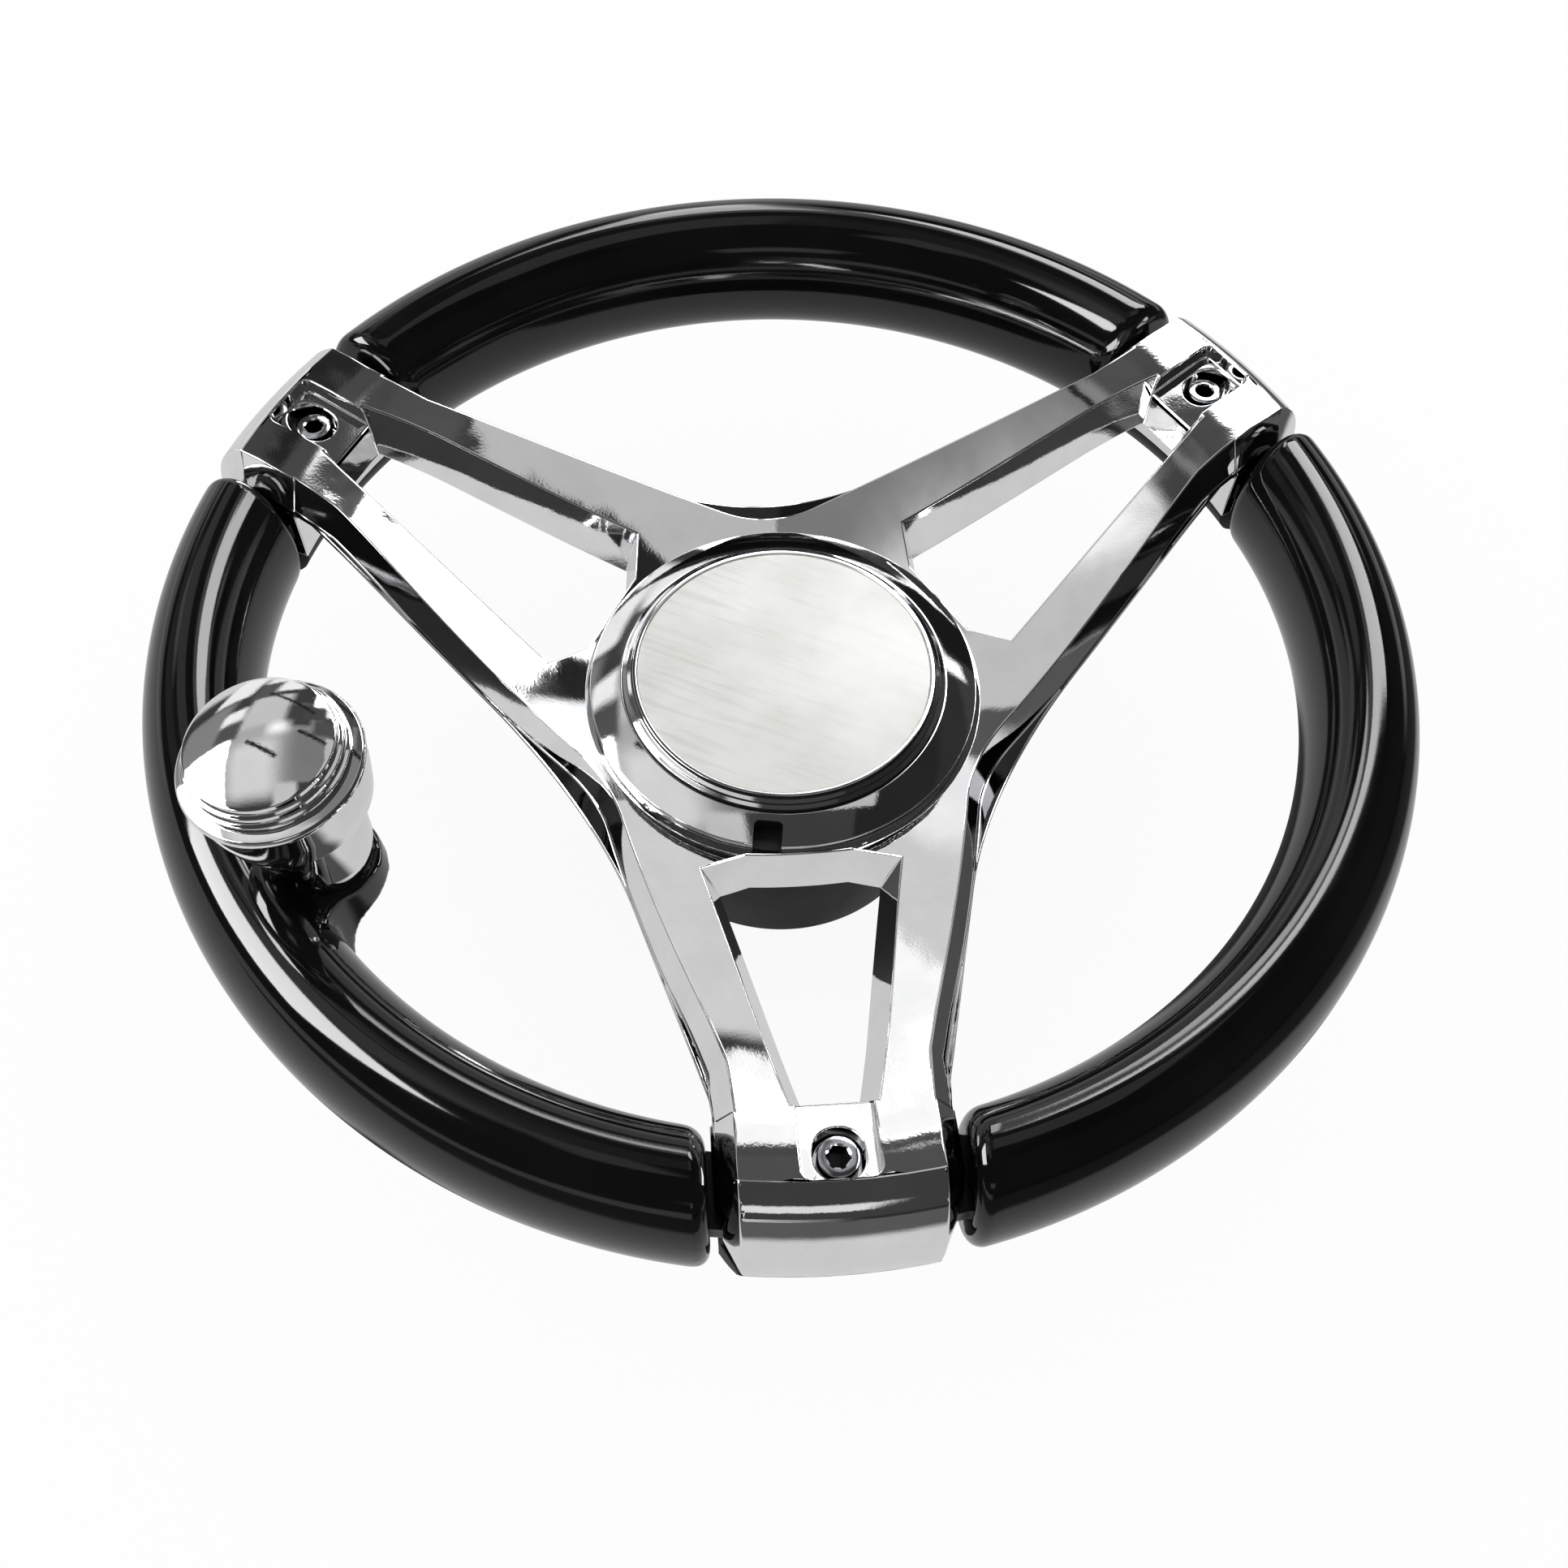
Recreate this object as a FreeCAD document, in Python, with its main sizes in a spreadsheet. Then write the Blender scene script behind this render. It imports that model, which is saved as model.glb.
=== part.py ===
import FreeCAD, Part
import math
import os

import Sketcher

# Boat steering wheel: a cast three-spoke frame, a moulded rim in three grips, a snap-in centre cap,
# a tapered hub and a spinner knob. Millimetres, +Z towards the driver, origin at the middle of the
# hub's flat base, spokes at 30, 150 and 270 degrees, spinner knob at 210 degrees.

doc = FreeCAD.newDocument("boat_steering_wheel")
sheet = doc.addObject("Spreadsheet::Sheet", "Sizes")

SIZES = {
    # rim and grips
    "rim_height": 84.0,             # centre plane of the rim above the hub base
    "rim_radius": 160.1,            # centre of the rim's oval section
    "grip_half_width": 14.9,
    "grip_half_height": 21.9,
    "grip_end_round": 4.5,
    "grip_end_gap": 1.2,            # between a grip and the spoke's rim block
    "core_inner_radius": 150.0,
    "core_outer_radius": 168.0,
    "core_thickness": 6.0,
    "core_clearance": 0.15,
    # spoke frame casting
    "hub_plate_bottom": 50.0,
    "hub_plate_top": 61.8,
    "hub_plate_bore_radius": 24.0,
    "dish_root_radius": 50.0,       # where the dished face starts
    "dish_angle": 25.2,
    "dish_knee_radius": 118.0,      # the straight dish turns into a curve here
    "dish_end_radius": 163.0,
    "dish_end_height": 107.2,
    "lip_top_depth": 9.0,           # the drafted flank ends in a lip
    "lip_bottom_depth": 11.2,
    "back_depth": 14.0,
    "flank_draft": 27.9,
    "outline_lift": 2.0,            # the drafted outline is drawn this far above the rim end
    "flank_half_width": 25.2,       # half width of a spoke in that outline, at the station
    "flank_station": 60.0,
    "flank_taper": 5.2,             # angle between a flank and the spoke's middle line
    "neck_reach": 130.0,
    "neck_end_reach": 146.0,
    "neck_half_width": 20.0,
    "block_half_width": 28.5,
    "lip_half_width": 49.2,
    "lip_taper": 15.2,
    "lip_end_reach": 138.0,
    "lip_root_inset": 0.9,          # the lip runs into a block this far inside its side
    "back_inset": 3.5,
    "crotch_radius": 56.0,          # rounding where two spokes meet, in the drafted outline
    "lip_crotch_radius": 160.0,
    "block_outer_radius": 174.7,
    "block_shoulder_radius": 174.4,
    "block_shoulder_height": 93.0,
    "block_shoulder_round": 21.7,
    "block_side_round": 34.0,
    "block_bottom": 75.5,
    "block_inner_radius": 146.0,
    "block_bevel_width": 5.5,       # bevel between a block's cover and its sides
    "block_bevel_depth": 10.4,
    # opening in each spoke
    "slot_draft": 17.2,
    "slot_hub_reach": 44.3,
    "slot_hub_half_width": 18.3,
    "slot_shoulder_reach": 57.6,
    "slot_shoulder_half_width": 41.1,
    "slot_end_reach": 144.5,
    "slot_end_half_width": 11.1,
    "slot_end_depth": 44.0,
    "slot_hub_depth": 62.0,
    "slot_hub_end_reach": 110.0,
    # screw recess at each rim block
    "recess_outer_reach": 162.0,
    "recess_half_width": 8.9,
    "recess_depth": 4.8,
    "recess_tilt": 13.9,
    "recess_corner": 2.5,
    "screw_reach": 154.5,
    "counterbore_half_width": 6.0,
    "counterbore_half_length": 6.9,
    "counterbore_floor": 93.0,
    "spoke_screw_radius": 3.0,
    "spoke_screw_head_radius": 5.0,
    "spoke_screw_head_height": 6.0,
    "spoke_screw_tip": 66.0,
    "spoke_screw_clearance": 0.3,
    "spoke_screw_hex": 5.0,
    "hex_depth": 3.5,
    # rear clamps
    "clamp_side_inset": 0.6,
    "clamp_bottom": 61.8,
    "clamp_round": 16.0,
    "clamp_gap": 0.1,
    # hub
    "hub_top_radius": 50.0,
    "hub_base_radius": 47.75,
    "shroud_wall": 2.5,
    "shroud_floor": 3.0,
    "carrier_sleeve_radius": 24.0,
    "carrier_flange_radius": 46.0,
    "carrier_flange_thickness": 9.0,
    "carrier_clearance": 0.15,
    "taper_large_radius": 9.525,    # three-quarter inch shaft
    "taper_ratio": 12.0,            # one in twelve on the diameter
    "taper_top": 36.0,
    "nut_pocket_radius": 17.0,
    "key_width": 4.76,
    "key_depth": 2.4,
    "hub_screw_circle": 36.0,
    "hub_screw_count": 6,
    "hub_screw_radius": 2.5,
    "hub_screw_head_radius": 4.25,
    "hub_screw_head_height": 5.0,
    "hub_screw_length": 17.0,
    "hub_screw_hole_top": 59.5,
    "hub_screw_clearance": 0.2,
    # bezel and cap
    "bezel_radius": 56.1,
    "bezel_edge": 2.3,
    "bezel_top_radius": 47.3,
    "bezel_top_height": 69.8,
    "bezel_bore_radius": 41.0,
    "bezel_seat_height": 67.8,
    "notch_width": 8.0,
    "notch_depth": 3.2,
    "notch_reach": 49.2,            # where the notch starts, just outside the bezel's top edge
    "notch_corner": 1.5,
    "notch_angle": -99.0,
    "trim_outer_radius": 46.6,
    "trim_middle_radius": 45.3,
    "trim_lip_radius": 44.0,
    "trim_bore_radius": 42.4,
    "trim_top_height": 73.1,
    "trim_step": 0.9,
    "trim_seat_height": 69.0,
    "trim_clearance": 0.1,
    "insert_thickness": 1.6,
    "insert_drop": 0.2,             # insert face below the trim's lip
    "cap_plate_thickness": 2.4,
    "cap_rim_width": 6.4,
    "finger_count": 6,
    "finger_wall": 1.8,
    "finger_width": 12.0,
    "finger_tip_height": 51.5,
    "finger_hook": 1.6,
    "finger_hook_height": 2.5,
    "finger_clearance": 0.3,
    "hook_ledge_height": 55.0,
    "hook_ledge_radius": 27.0,
    # spinner knob, measured along its own axis from the rim's centre plane
    "knob_circle": 135.5,
    "knob_lean": 5.2,
    "boss_top": 13.6,
    "boss_bottom": -16.0,
    "boss_radius": 12.0,
    "boss_flank_radius": 10.0,
    "boss_flank_level": 12.5,       # how far out the flanks run into the rim
    "boss_depth": 16.0,
    "boss_sweep": 21.0,             # hollow curve under the boss
    "boss_sweep_start": 4.0,
    "boss_sweep_reach": 8.0,
    "boss_sweep_end": -12.0,
    "boss_round": 1.5,
    "stem_foot_radius": 10.4,
    "stem_waist_radius": 12.2,
    "stem_waist_height": 21.0,
    "stem_top_radius": 14.5,
    "stem_top": 46.2,
    "washer_thickness": 1.0,
    "washer_radius": 12.0,
    "end_play": 0.1,
    "spindle_radius": 5.0,
    "spindle_thread_radius": 3.0,
    "spindle_thread_tip": 5.5,
    "spindle_head_radius": 8.0,
    "spindle_head_height": 3.0,
    "spindle_fit": 0.05,
    "thread_clearance": 0.1,
    "spindle_hex": 4.0,
    "brass_insert_radius": 5.5,
    "brass_insert_bottom": 4.0,
    "bush_wall": 2.0,
    "bush_length": 5.0,
    "bush_spacing": 1.0,
    "bush_flange_radius": 9.5,
    "bush_flange": 1.2,
    "knob_ring_height": 60.2,
    "knob_ring_thickness": 3.0,
    "knob_skirt_radius": 21.0,
    "knob_foot_radius": 18.3,
    "knob_foot_round": 1.5,
    "knob_bottom": 43.2,
    "knob_waist_radius": 20.3,
    "knob_waist_height": 52.2,
    "knob_stem_gap": 0.8,
    "knob_split_height": 61.8,
    "knob_groove_radius": 18.8,
    "knob_well_radius": 14.0,
    "cap_ring_radius": 19.1,
    "cap_step_radius": 18.1,
    "cap_crown_radius": 17.1,
    "cap_ring_height": 64.2,
    "cap_step_height": 66.3,
    "cap_crown_height": 68.6,
    "cap_dome_height": 71.6,
    "cap_wall": 2.0,
    "cap_spigot_depth": 3.0,
    "cap_spigot_clearance": 0.05,
}

SPOKE_ANGLES = {"right": 30.0, "left": 150.0, "bottom": 270.0}
KNOB_ANGLE = 210.0


class Size:
    """A number together with the sheet formula that gives it."""

    def __init__(self, number, formula):
        self.number = float(number)
        self.formula = formula

    def __add__(self, other):
        return joined(self, other, "+", lambda a, b: a + b)

    def __radd__(self, other):
        return as_size(other) + self

    def __sub__(self, other):
        return joined(self, other, "-", lambda a, b: a - b)

    def __rsub__(self, other):
        return as_size(other) - self

    def __mul__(self, other):
        return joined(self, other, "*", lambda a, b: a * b)

    def __rmul__(self, other):
        return as_size(other) * self

    def __truediv__(self, other):
        return joined(self, other, "/", lambda a, b: a / b)

    def __rtruediv__(self, other):
        return as_size(other) / self

    def __neg__(self):
        return as_size(0) - self


def as_size(value):
    if isinstance(value, Size):
        return value
    return Size(value, "%.10g" % value if value >= 0 else "(0 - %.10g)" % -value)


def joined(left, right, sign, rule):
    left, right = as_size(left), as_size(right)
    text = "(%s %s %s)" % (left.formula, sign, right.formula)
    return Size(rule(left.number, right.number), text)


def trig(rule, word):
    def of_angle(angle):
        angle = as_size(angle)
        return Size(rule(math.radians(angle.number)), "%s(%s)" % (word, angle.formula))
    return of_angle


sine = trig(math.sin, "sin")
cosine = trig(math.cos, "cos")
tangent = trig(math.tan, "tan")


def root(value):
    return Size(math.sqrt(value.number), "sqrt(%s)" % value.formula)


class Book:
    """The sheet's rows as attributes; derived() adds a row that a formula fills."""

    def __init__(self):
        self.row = 0

    def write(self, name, content, number):
        self.row += 1
        sheet.set("A%d" % self.row, name)
        sheet.set("B%d" % self.row, content)
        sheet.setAlias("B%d" % self.row, name)
        setattr(self, name, Size(number, "Sizes." + name))

    def derived(self, name, size):
        self.write(name, "=" + size.formula.replace("Sizes.", ""), size.number)
        return getattr(self, name)


s = Book()
for size_name, size_number in SIZES.items():
    s.write(size_name, "%.10g" % size_number, size_number)
doc.recompute()


# Drawing and shaping with sizes from the sheet

def bind(target, prop, size):
    size = as_size(size)
    target.setExpression(prop, size.formula)


def origin_plane(body, role):
    return [feature for feature in body.Origin.OriginFeatures if feature.Role == role][0]


def new_body(name):
    body = doc.addObject("PartDesign::Body", name)
    body.Label = name
    return body


def new_sketch(body, name, role, height=None):
    sketch = body.newObject("Sketcher::SketchObject", name)
    sketch.AttachmentSupport = (origin_plane(body, role), [""])
    sketch.MapMode = "FlatFace"
    if height is not None:
        bind(sketch, "AttachmentOffset.Base.z", height)
    return sketch


def pin_point(sketch, geometry, end, x, y):
    for kind, size in (("DistanceX", as_size(x)), ("DistanceY", as_size(y))):
        index = sketch.addConstraint(Sketcher.Constraint(kind, -1, 1, geometry, end, size.number))
        sketch.setExpression("Constraints[%d]" % index, size.formula)


def arc_between(start, end, radius, left):
    """Arc of a radius from start to end, its centre on the left or right of the way."""
    middle = (start + end) * 0.5
    along = end - start
    side = FreeCAD.Vector(-along.y, along.x, 0).normalize()
    rise = math.sqrt(max(radius * radius - along.Length * along.Length / 4, 0.0))
    centre = middle + side * (rise if left else -rise)
    circle = Part.Circle(centre, FreeCAD.Vector(0, 0, 1), radius)
    first = math.atan2(start.y - centre.y, start.x - centre.x)
    last = math.atan2(end.y - centre.y, end.x - centre.x)
    return Part.ArcOfCircle(circle, first, last) if left else Part.ArcOfCircle(circle, last, first)


def draw_outline(sketch, corners):
    """Closed outline. A corner is (x, y), or (x, y, radius) for an arc to the next corner:
    a plain radius bends left of the way (anticlockwise), ("right", radius) bends right and
    "half" is a left-bending half circle between two corners one above the other."""
    offset = sketch.GeometryCount
    count = len(corners)
    points = [FreeCAD.Vector(as_size(c[0]).number, as_size(c[1]).number, 0) for c in corners]
    ends = []
    for index, corner in enumerate(corners):
        start, end = points[index], points[(index + 1) % count]
        if len(corner) == 2:
            sketch.addGeometry(Part.LineSegment(start, end), False)
            ends.append((1, 2))
            continue
        if corner[2] == "half":
            number = sketch.addGeometry(arc_between(start, end, (end - start).Length / 2, True), False)
            ends.append((1, 2))
            middle = as_size(corner[0])
            row = sketch.addConstraint(Sketcher.Constraint("DistanceX", -1, 1, number, 3, middle.number))
            sketch.setExpression("Constraints[%d]" % row, middle.formula)
            continue
        right = isinstance(corner[2], tuple)
        radius = as_size(corner[2][1] if right else corner[2])
        number = sketch.addGeometry(arc_between(start, end, radius.number, not right), False)
        ends.append((2, 1) if right else (1, 2))
        row = sketch.addConstraint(Sketcher.Constraint("Radius", number, radius.number))
        sketch.setExpression("Constraints[%d]" % row, radius.formula)
    for index in range(count):
        after = (index + 1) % count
        sketch.addConstraint(Sketcher.Constraint(
            "Coincident", offset + index, ends[index][1], offset + after, ends[after][0]))
    for index, corner in enumerate(corners):
        pin_point(sketch, offset + index, ends[index][0], corner[0], corner[1])


def revolve(body, name, corners, angle=360.0):
    """Turn a closed outline of (radius, height) corners about the body's Z axis."""
    sketch = new_sketch(body, name + "_profile", "XZ_Plane")
    draw_outline(sketch, corners)
    turn = body.newObject("PartDesign::Revolution", name)
    turn.Profile = sketch
    turn.ReferenceAxis = (sketch, ["V_Axis"])
    turn.Angle = angle
    return turn


def pad(body, name, draw, height, length, draft=None):
    """Raise a sketch that draw() fills, from a height on the body's XY plane, upwards."""
    sketch = new_sketch(body, name + "_sketch", "XY_Plane", height)
    draw(sketch)
    feature = body.newObject("PartDesign::Pad", name)
    feature.Profile = sketch
    bind(feature, "Length", length)
    if draft is not None:
        bind(feature, "TaperAngle", draft)
    return feature


def pocket(body, name, draw, height, depth, draft=None):
    """Cut downwards from a height, and make sure that something was cut."""
    doc.recompute()
    before = body.Shape.Volume
    sketch = new_sketch(body, name + "_sketch", "XY_Plane", height)
    draw(sketch)
    feature = body.newObject("PartDesign::Pocket", name)
    feature.Profile = sketch
    bind(feature, "Length", depth)
    if draft is not None:
        bind(feature, "TaperAngle", draft)
    doc.recompute()
    if body.Shape.Volume > before * 0.99999:
        raise RuntimeError(name + " cuts nothing")
    return feature


def repeat_round(body, feature, name, count):
    pattern = body.newObject("PartDesign::PolarPattern", name)
    pattern.Originals = [feature]
    pattern.Axis = (feature.Profile[0], ["N_Axis"])
    pattern.Angle = 360.0
    bind(pattern, "Occurrences", count)
    body.Tip = pattern
    return pattern


def combine(kind, name, base, tool):
    result = doc.addObject("Part::" + kind, name)
    result.Label = name
    result.Base = base
    result.Tool = tool
    result.Refine = True
    return result


def rounded(name, base, radius, chosen):
    """Fillet the edges of base that chosen(edge) picks."""
    doc.recompute()
    result = doc.addObject("Part::Fillet", name)
    result.Label = name
    result.Base = base
    picked = [n + 1 for n, edge in enumerate(base.Shape.Edges) if chosen(edge)]
    result.Edges = [(n, radius.number, radius.number) for n in picked]
    return result


def bevelled(name, base, on_cover, on_wall, chosen):
    """Bevel the edges between a curved cover and a flat wall that chosen(edge) picks."""
    doc.recompute()
    result = doc.addObject("Part::Chamfer", name)
    result.Label = name
    result.Base = base
    picked = []
    for number, edge in enumerate(base.Shape.Edges, 1):
        if chosen(edge):
            first = base.Shape.ancestorsOfType(edge, Part.Face)[0]
            flat = isinstance(first.Surface, Part.Plane)
            picked.append((number, on_wall.number, on_cover.number) if flat
                          else (number, on_cover.number, on_wall.number))
    result.Edges = picked
    return result


def turn_about_z(target, degrees):
    target.Placement = FreeCAD.Placement(
        FreeCAD.Vector(0, 0, 0), FreeCAD.Rotation(FreeCAD.Vector(0, 0, 1), degrees))


def block_box(name, length, width, height, x, z):
    """A box centred on y, its length starting at x."""
    box = doc.addObject("Part::Box", name)
    bind(box, "Length", length)
    bind(box, "Width", width)
    bind(box, "Height", height)
    bind(box, "Placement.Base.x", x)
    bind(box, "Placement.Base.y", as_size(0) - as_size(width) / 2)
    bind(box, "Placement.Base.z", z)
    return box


def round_bar(name, radius, bottom, height):
    bar = doc.addObject("Part::Cylinder", name)
    bind(bar, "Radius", radius)
    bind(bar, "Height", height)
    bind(bar, "Placement.Base.z", bottom)
    return bar


def group(name, members):
    result = doc.addObject("Part::Compound", name)
    result.Label = name
    result.Links = members
    return result


def fuse(name, members):
    result = doc.addObject("Part::MultiFuse", name)
    result.Label = name
    result.Shapes = members
    result.Refine = True
    return result


def at_spoke(name, source, degrees):
    """One more instance of a shape, turned about the wheel's axis."""
    turned = doc.addObject("Part::Compound", name)
    turned.Links = [source]
    turn_about_z(turned, degrees)
    return turned


def three_spokes(name, source):
    return group(name, [at_spoke(name + "_" + word, source, angle) for word, angle in SPOKE_ANGLES.items()])


def placed_on(angle, u, v):
    """Wheel x and y of a point u out along a spoke and v to its anticlockwise side."""
    c = round(math.cos(math.radians(angle)), 9)
    k = round(math.sin(math.radians(angle)), 9)
    u, v = as_size(u), as_size(v)
    return u * c - v * k, u * k + v * c


# Sizes that follow from the sheet's own

dish_slope = s.derived("dish_slope", tangent(s.dish_angle))
knee_height = s.derived(
    "knee_height", s.hub_plate_top + (s.dish_knee_radius - s.dish_root_radius) * dish_slope)
arc_run = s.derived("arc_run", s.dish_end_radius - s.dish_knee_radius)
arc_rise = s.derived("arc_rise", s.dish_end_height - knee_height)
dish_curve = s.derived("dish_curve", (arc_run * arc_run + arc_rise * arc_rise)
                       / ((arc_run * sine(s.dish_angle) - arc_rise * cosine(s.dish_angle)) * 2))
arc_centre_radius = s.derived("arc_centre_radius", s.dish_knee_radius + dish_curve * sine(s.dish_angle))
arc_centre_height = s.derived("arc_centre_height", knee_height - dish_curve * cosine(s.dish_angle))


def dish_height(radius):
    """Height of the spokes' face at a radius, past the knee."""
    reach = as_size(radius) - arc_centre_radius
    return arc_centre_height + root(dish_curve * dish_curve - reach * reach)


def cone_height(radius):
    """Height of the spokes' face at a radius, on the straight dish."""
    return s.hub_plate_top + (as_size(radius) - s.dish_root_radius) * dish_slope


block_face_height = s.derived("block_face_height", dish_height(s.block_inner_radius))
doc.recompute()


# Spoke frame: one chromed casting of hub plate, three forked spokes and three rim blocks

def dished_band(name, top_drop, bottom_drop):
    body = new_body(name)
    revolve(body, name + "_turn", [
        (s.dish_root_radius, s.hub_plate_top - top_drop),
        (s.dish_knee_radius, knee_height - top_drop, ("right", dish_curve)),
        (s.dish_end_radius, s.dish_end_height - top_drop),
        (s.dish_end_radius, s.dish_end_height - bottom_drop, dish_curve),
        (s.dish_knee_radius, knee_height - bottom_drop),
        (s.dish_root_radius, s.hub_plate_top - bottom_drop),
    ])
    return body


def star_corners(half_width, station, taper, crotch, side_points):
    """Three-armed outline. side_points are (u, v) on the anticlockwise side of a spoke."""
    slope = tangent(taper)
    corner = (half_width + station * slope) / (slope * 0.5 + 0.866025404)
    tangent_length = crotch / tangent(as_size(60) + taper)
    start_u = corner * 0.5 + tangent_length * cosine(taper)
    start_v = corner * 0.866025404 - tangent_length * sine(taper)
    corners = []
    for angle in sorted(SPOKE_ANGLES.values()):
        corners.append(placed_on(angle, start_u, -start_v))
        for u, v in side_points:
            corners.append(placed_on(angle, u, -v))
        for u, v in reversed(side_points):
            corners.append(placed_on(angle, u, v))
        corners.append(placed_on(angle, start_u, start_v) + (("right", crotch),))
    return corners


star_plane = s.dish_end_height + s.outline_lift
star_depth = star_plane - s.hub_plate_bottom + 4
neck_start_width = s.flank_half_width - (s.neck_reach - s.flank_station) * tangent(s.flank_taper)
drafted_star = new_body("drafted_star")
draft_sketch = new_sketch(drafted_star, "drafted_star_outline", "XY_Plane", star_plane)
draw_outline(draft_sketch, star_corners(s.flank_half_width, s.flank_station, s.flank_taper, s.crotch_radius, [
    (s.neck_reach, neck_start_width),
    (s.neck_end_reach, s.neck_half_width),
    (s.block_outer_radius + 10, s.neck_half_width),
]))
draft_pad = drafted_star.newObject("PartDesign::Pad", "drafted_star_pad")
draft_pad.Profile = draft_sketch
bind(draft_pad, "Length", star_depth)
draft_pad.Reversed = True
bind(draft_pad, "TaperAngle", s.flank_draft)

lip_end_width = s.lip_half_width - (s.lip_end_reach - s.flank_station) * tangent(s.lip_taper)
lip_star = new_body("lip_star")
pad(lip_star, "lip_star_pad", lambda sketch: draw_outline(sketch, star_corners(
    s.lip_half_width, s.flank_station, s.lip_taper, s.lip_crotch_radius,
    [(s.lip_end_reach, lip_end_width),
     (s.block_inner_radius + 2, s.block_half_width - s.lip_root_inset)])),
    s.hub_plate_bottom - 10, as_size(80))

back_star = new_body("back_star")
pad(back_star, "back_star_pad", lambda sketch: draw_outline(sketch, star_corners(
    s.lip_half_width - s.back_inset, s.flank_station, s.lip_taper, s.lip_crotch_radius,
    [(s.lip_end_reach, lip_end_width - s.back_inset),
     (s.block_inner_radius + 2, s.block_half_width - s.back_inset)])),
    s.hub_plate_bottom - 10, as_size(80))

flank_band = combine(
    "Common", "flank_band", dished_band("face_dish", as_size(0), s.lip_top_depth), drafted_star)
lip_band = combine(
    "Common", "lip_band", dished_band("lip_dish", s.lip_top_depth, s.lip_bottom_depth), lip_star)
back_band = combine(
    "Common", "back_band", dished_band("back_dish", s.lip_bottom_depth, s.back_depth), back_star)

hub_plate = new_body("hub_plate")
plate_radius = s.bezel_radius + 2
revolve(hub_plate, "hub_plate_turn", [
    (s.hub_plate_bore_radius, s.hook_ledge_height),
    (s.hook_ledge_radius, s.hook_ledge_height),
    (s.hook_ledge_radius, s.hub_plate_bottom),
    (plate_radius, s.hub_plate_bottom),
    (plate_radius, cone_height(plate_radius)),
    (s.dish_root_radius, s.hub_plate_top),
    (s.hub_plate_bore_radius, s.hub_plate_top),
])

block_ring = new_body("block_ring")
revolve(block_ring, "block_ring_turn", [
    (s.block_inner_radius, s.block_bottom),
    (s.block_outer_radius, s.block_bottom, s.block_side_round),
    (s.block_shoulder_radius, s.block_shoulder_height, s.block_shoulder_round),
    (s.dish_end_radius, s.dish_end_height, dish_curve),
    (s.block_inner_radius, block_face_height),
])
block_zone = block_box("block_zone", as_size(40), s.block_half_width * 2, as_size(60),
                       s.block_inner_radius - 4, s.block_bottom - 10)
plain_block = combine("Common", "plain_block", block_ring, block_zone)


def on_cover_side(edge):
    middle = edge.valueAt((edge.FirstParameter + edge.LastParameter) / 2)
    return (abs(abs(middle.y) - s.block_half_width.number) < 0.01 and middle.z > s.block_bottom.number + 0.5
            and math.hypot(middle.x, middle.y) > s.block_inner_radius.number + 0.5)


blocks = three_spokes("rim_blocks", bevelled(
    "bevelled_block", plain_block, s.block_bevel_width, s.block_bevel_depth, on_cover_side))

frame_solid = fuse("frame_solid", [hub_plate, flank_band, lip_band, back_band, blocks])

# openings: a long one in each spoke, a screw recess, the core's channel and the hub screw holes
slot_side_slope = ((s.slot_shoulder_half_width - s.slot_end_half_width)
                   / (s.slot_end_reach - s.slot_shoulder_reach))
slot_mid_width = s.slot_shoulder_half_width - (s.slot_hub_end_reach - s.slot_shoulder_reach) * slot_side_slope


def slot_cutter(name, end_reach, end_half_width, depth):
    cutter = new_body(name)
    sketch = new_sketch(cutter, name + "_outline", "XY_Plane", s.dish_end_height)
    draw_outline(sketch, [
        (s.slot_hub_reach, -s.slot_hub_half_width),
        (s.slot_shoulder_reach, -s.slot_shoulder_half_width),
        (end_reach, -end_half_width),
        (end_reach, end_half_width),
        (s.slot_shoulder_reach, s.slot_shoulder_half_width),
        (s.slot_hub_reach, s.slot_hub_half_width),
    ])
    feature = cutter.newObject("PartDesign::Pad", name + "_pad")
    feature.Profile = sketch
    bind(feature, "Length", depth)
    feature.Reversed = True
    bind(feature, "TaperAngle", -s.slot_draft)
    return cutter


long_slot = slot_cutter("long_slot", s.slot_end_reach, s.slot_end_half_width, s.slot_end_depth)
hub_slot = slot_cutter("hub_slot", s.slot_hub_end_reach, slot_mid_width, s.slot_hub_depth)

recess_tool = new_body("recess_tool")
recess_start = s.slot_end_reach - 6
recess_floor = s.dish_end_height - s.recess_depth
recess_sketch = new_sketch(recess_tool, "recess_side", "XZ_Plane")
draw_outline(recess_sketch, [
    (s.recess_outer_reach, recess_floor),
    (s.recess_outer_reach, s.dish_end_height + 5),
    (recess_start, s.dish_end_height + 5),
    (recess_start, recess_floor - (s.recess_outer_reach - recess_start) * tangent(s.recess_tilt)),
])
recess_pad = recess_tool.newObject("PartDesign::Pad", "recess_pad")
recess_pad.Profile = recess_sketch
bind(recess_pad, "Length", s.recess_half_width * 2)
recess_pad.Midplane = True
doc.recompute()
recess_round = recess_tool.newObject("PartDesign::Fillet", "recess_round")
upright = [n + 1 for n, edge in enumerate(recess_pad.Shape.Edges)
           if abs(edge.tangentAt(edge.FirstParameter).z) > 0.99
           and abs(edge.CenterOfMass.x - s.recess_outer_reach.number) < 0.1]
recess_round.Base = (recess_pad, ["Edge%d" % n for n in upright])
bind(recess_round, "Radius", s.recess_corner)
recess_tool.Tip = recess_round


def obround(sketch, reach, half_length, half_width):
    straight = half_length - half_width
    draw_outline(sketch, [
        (reach - straight, -half_width),
        (reach + straight, -half_width, "half"),
        (reach + straight, half_width),
        (reach - straight, half_width, "half"),
    ])


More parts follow.
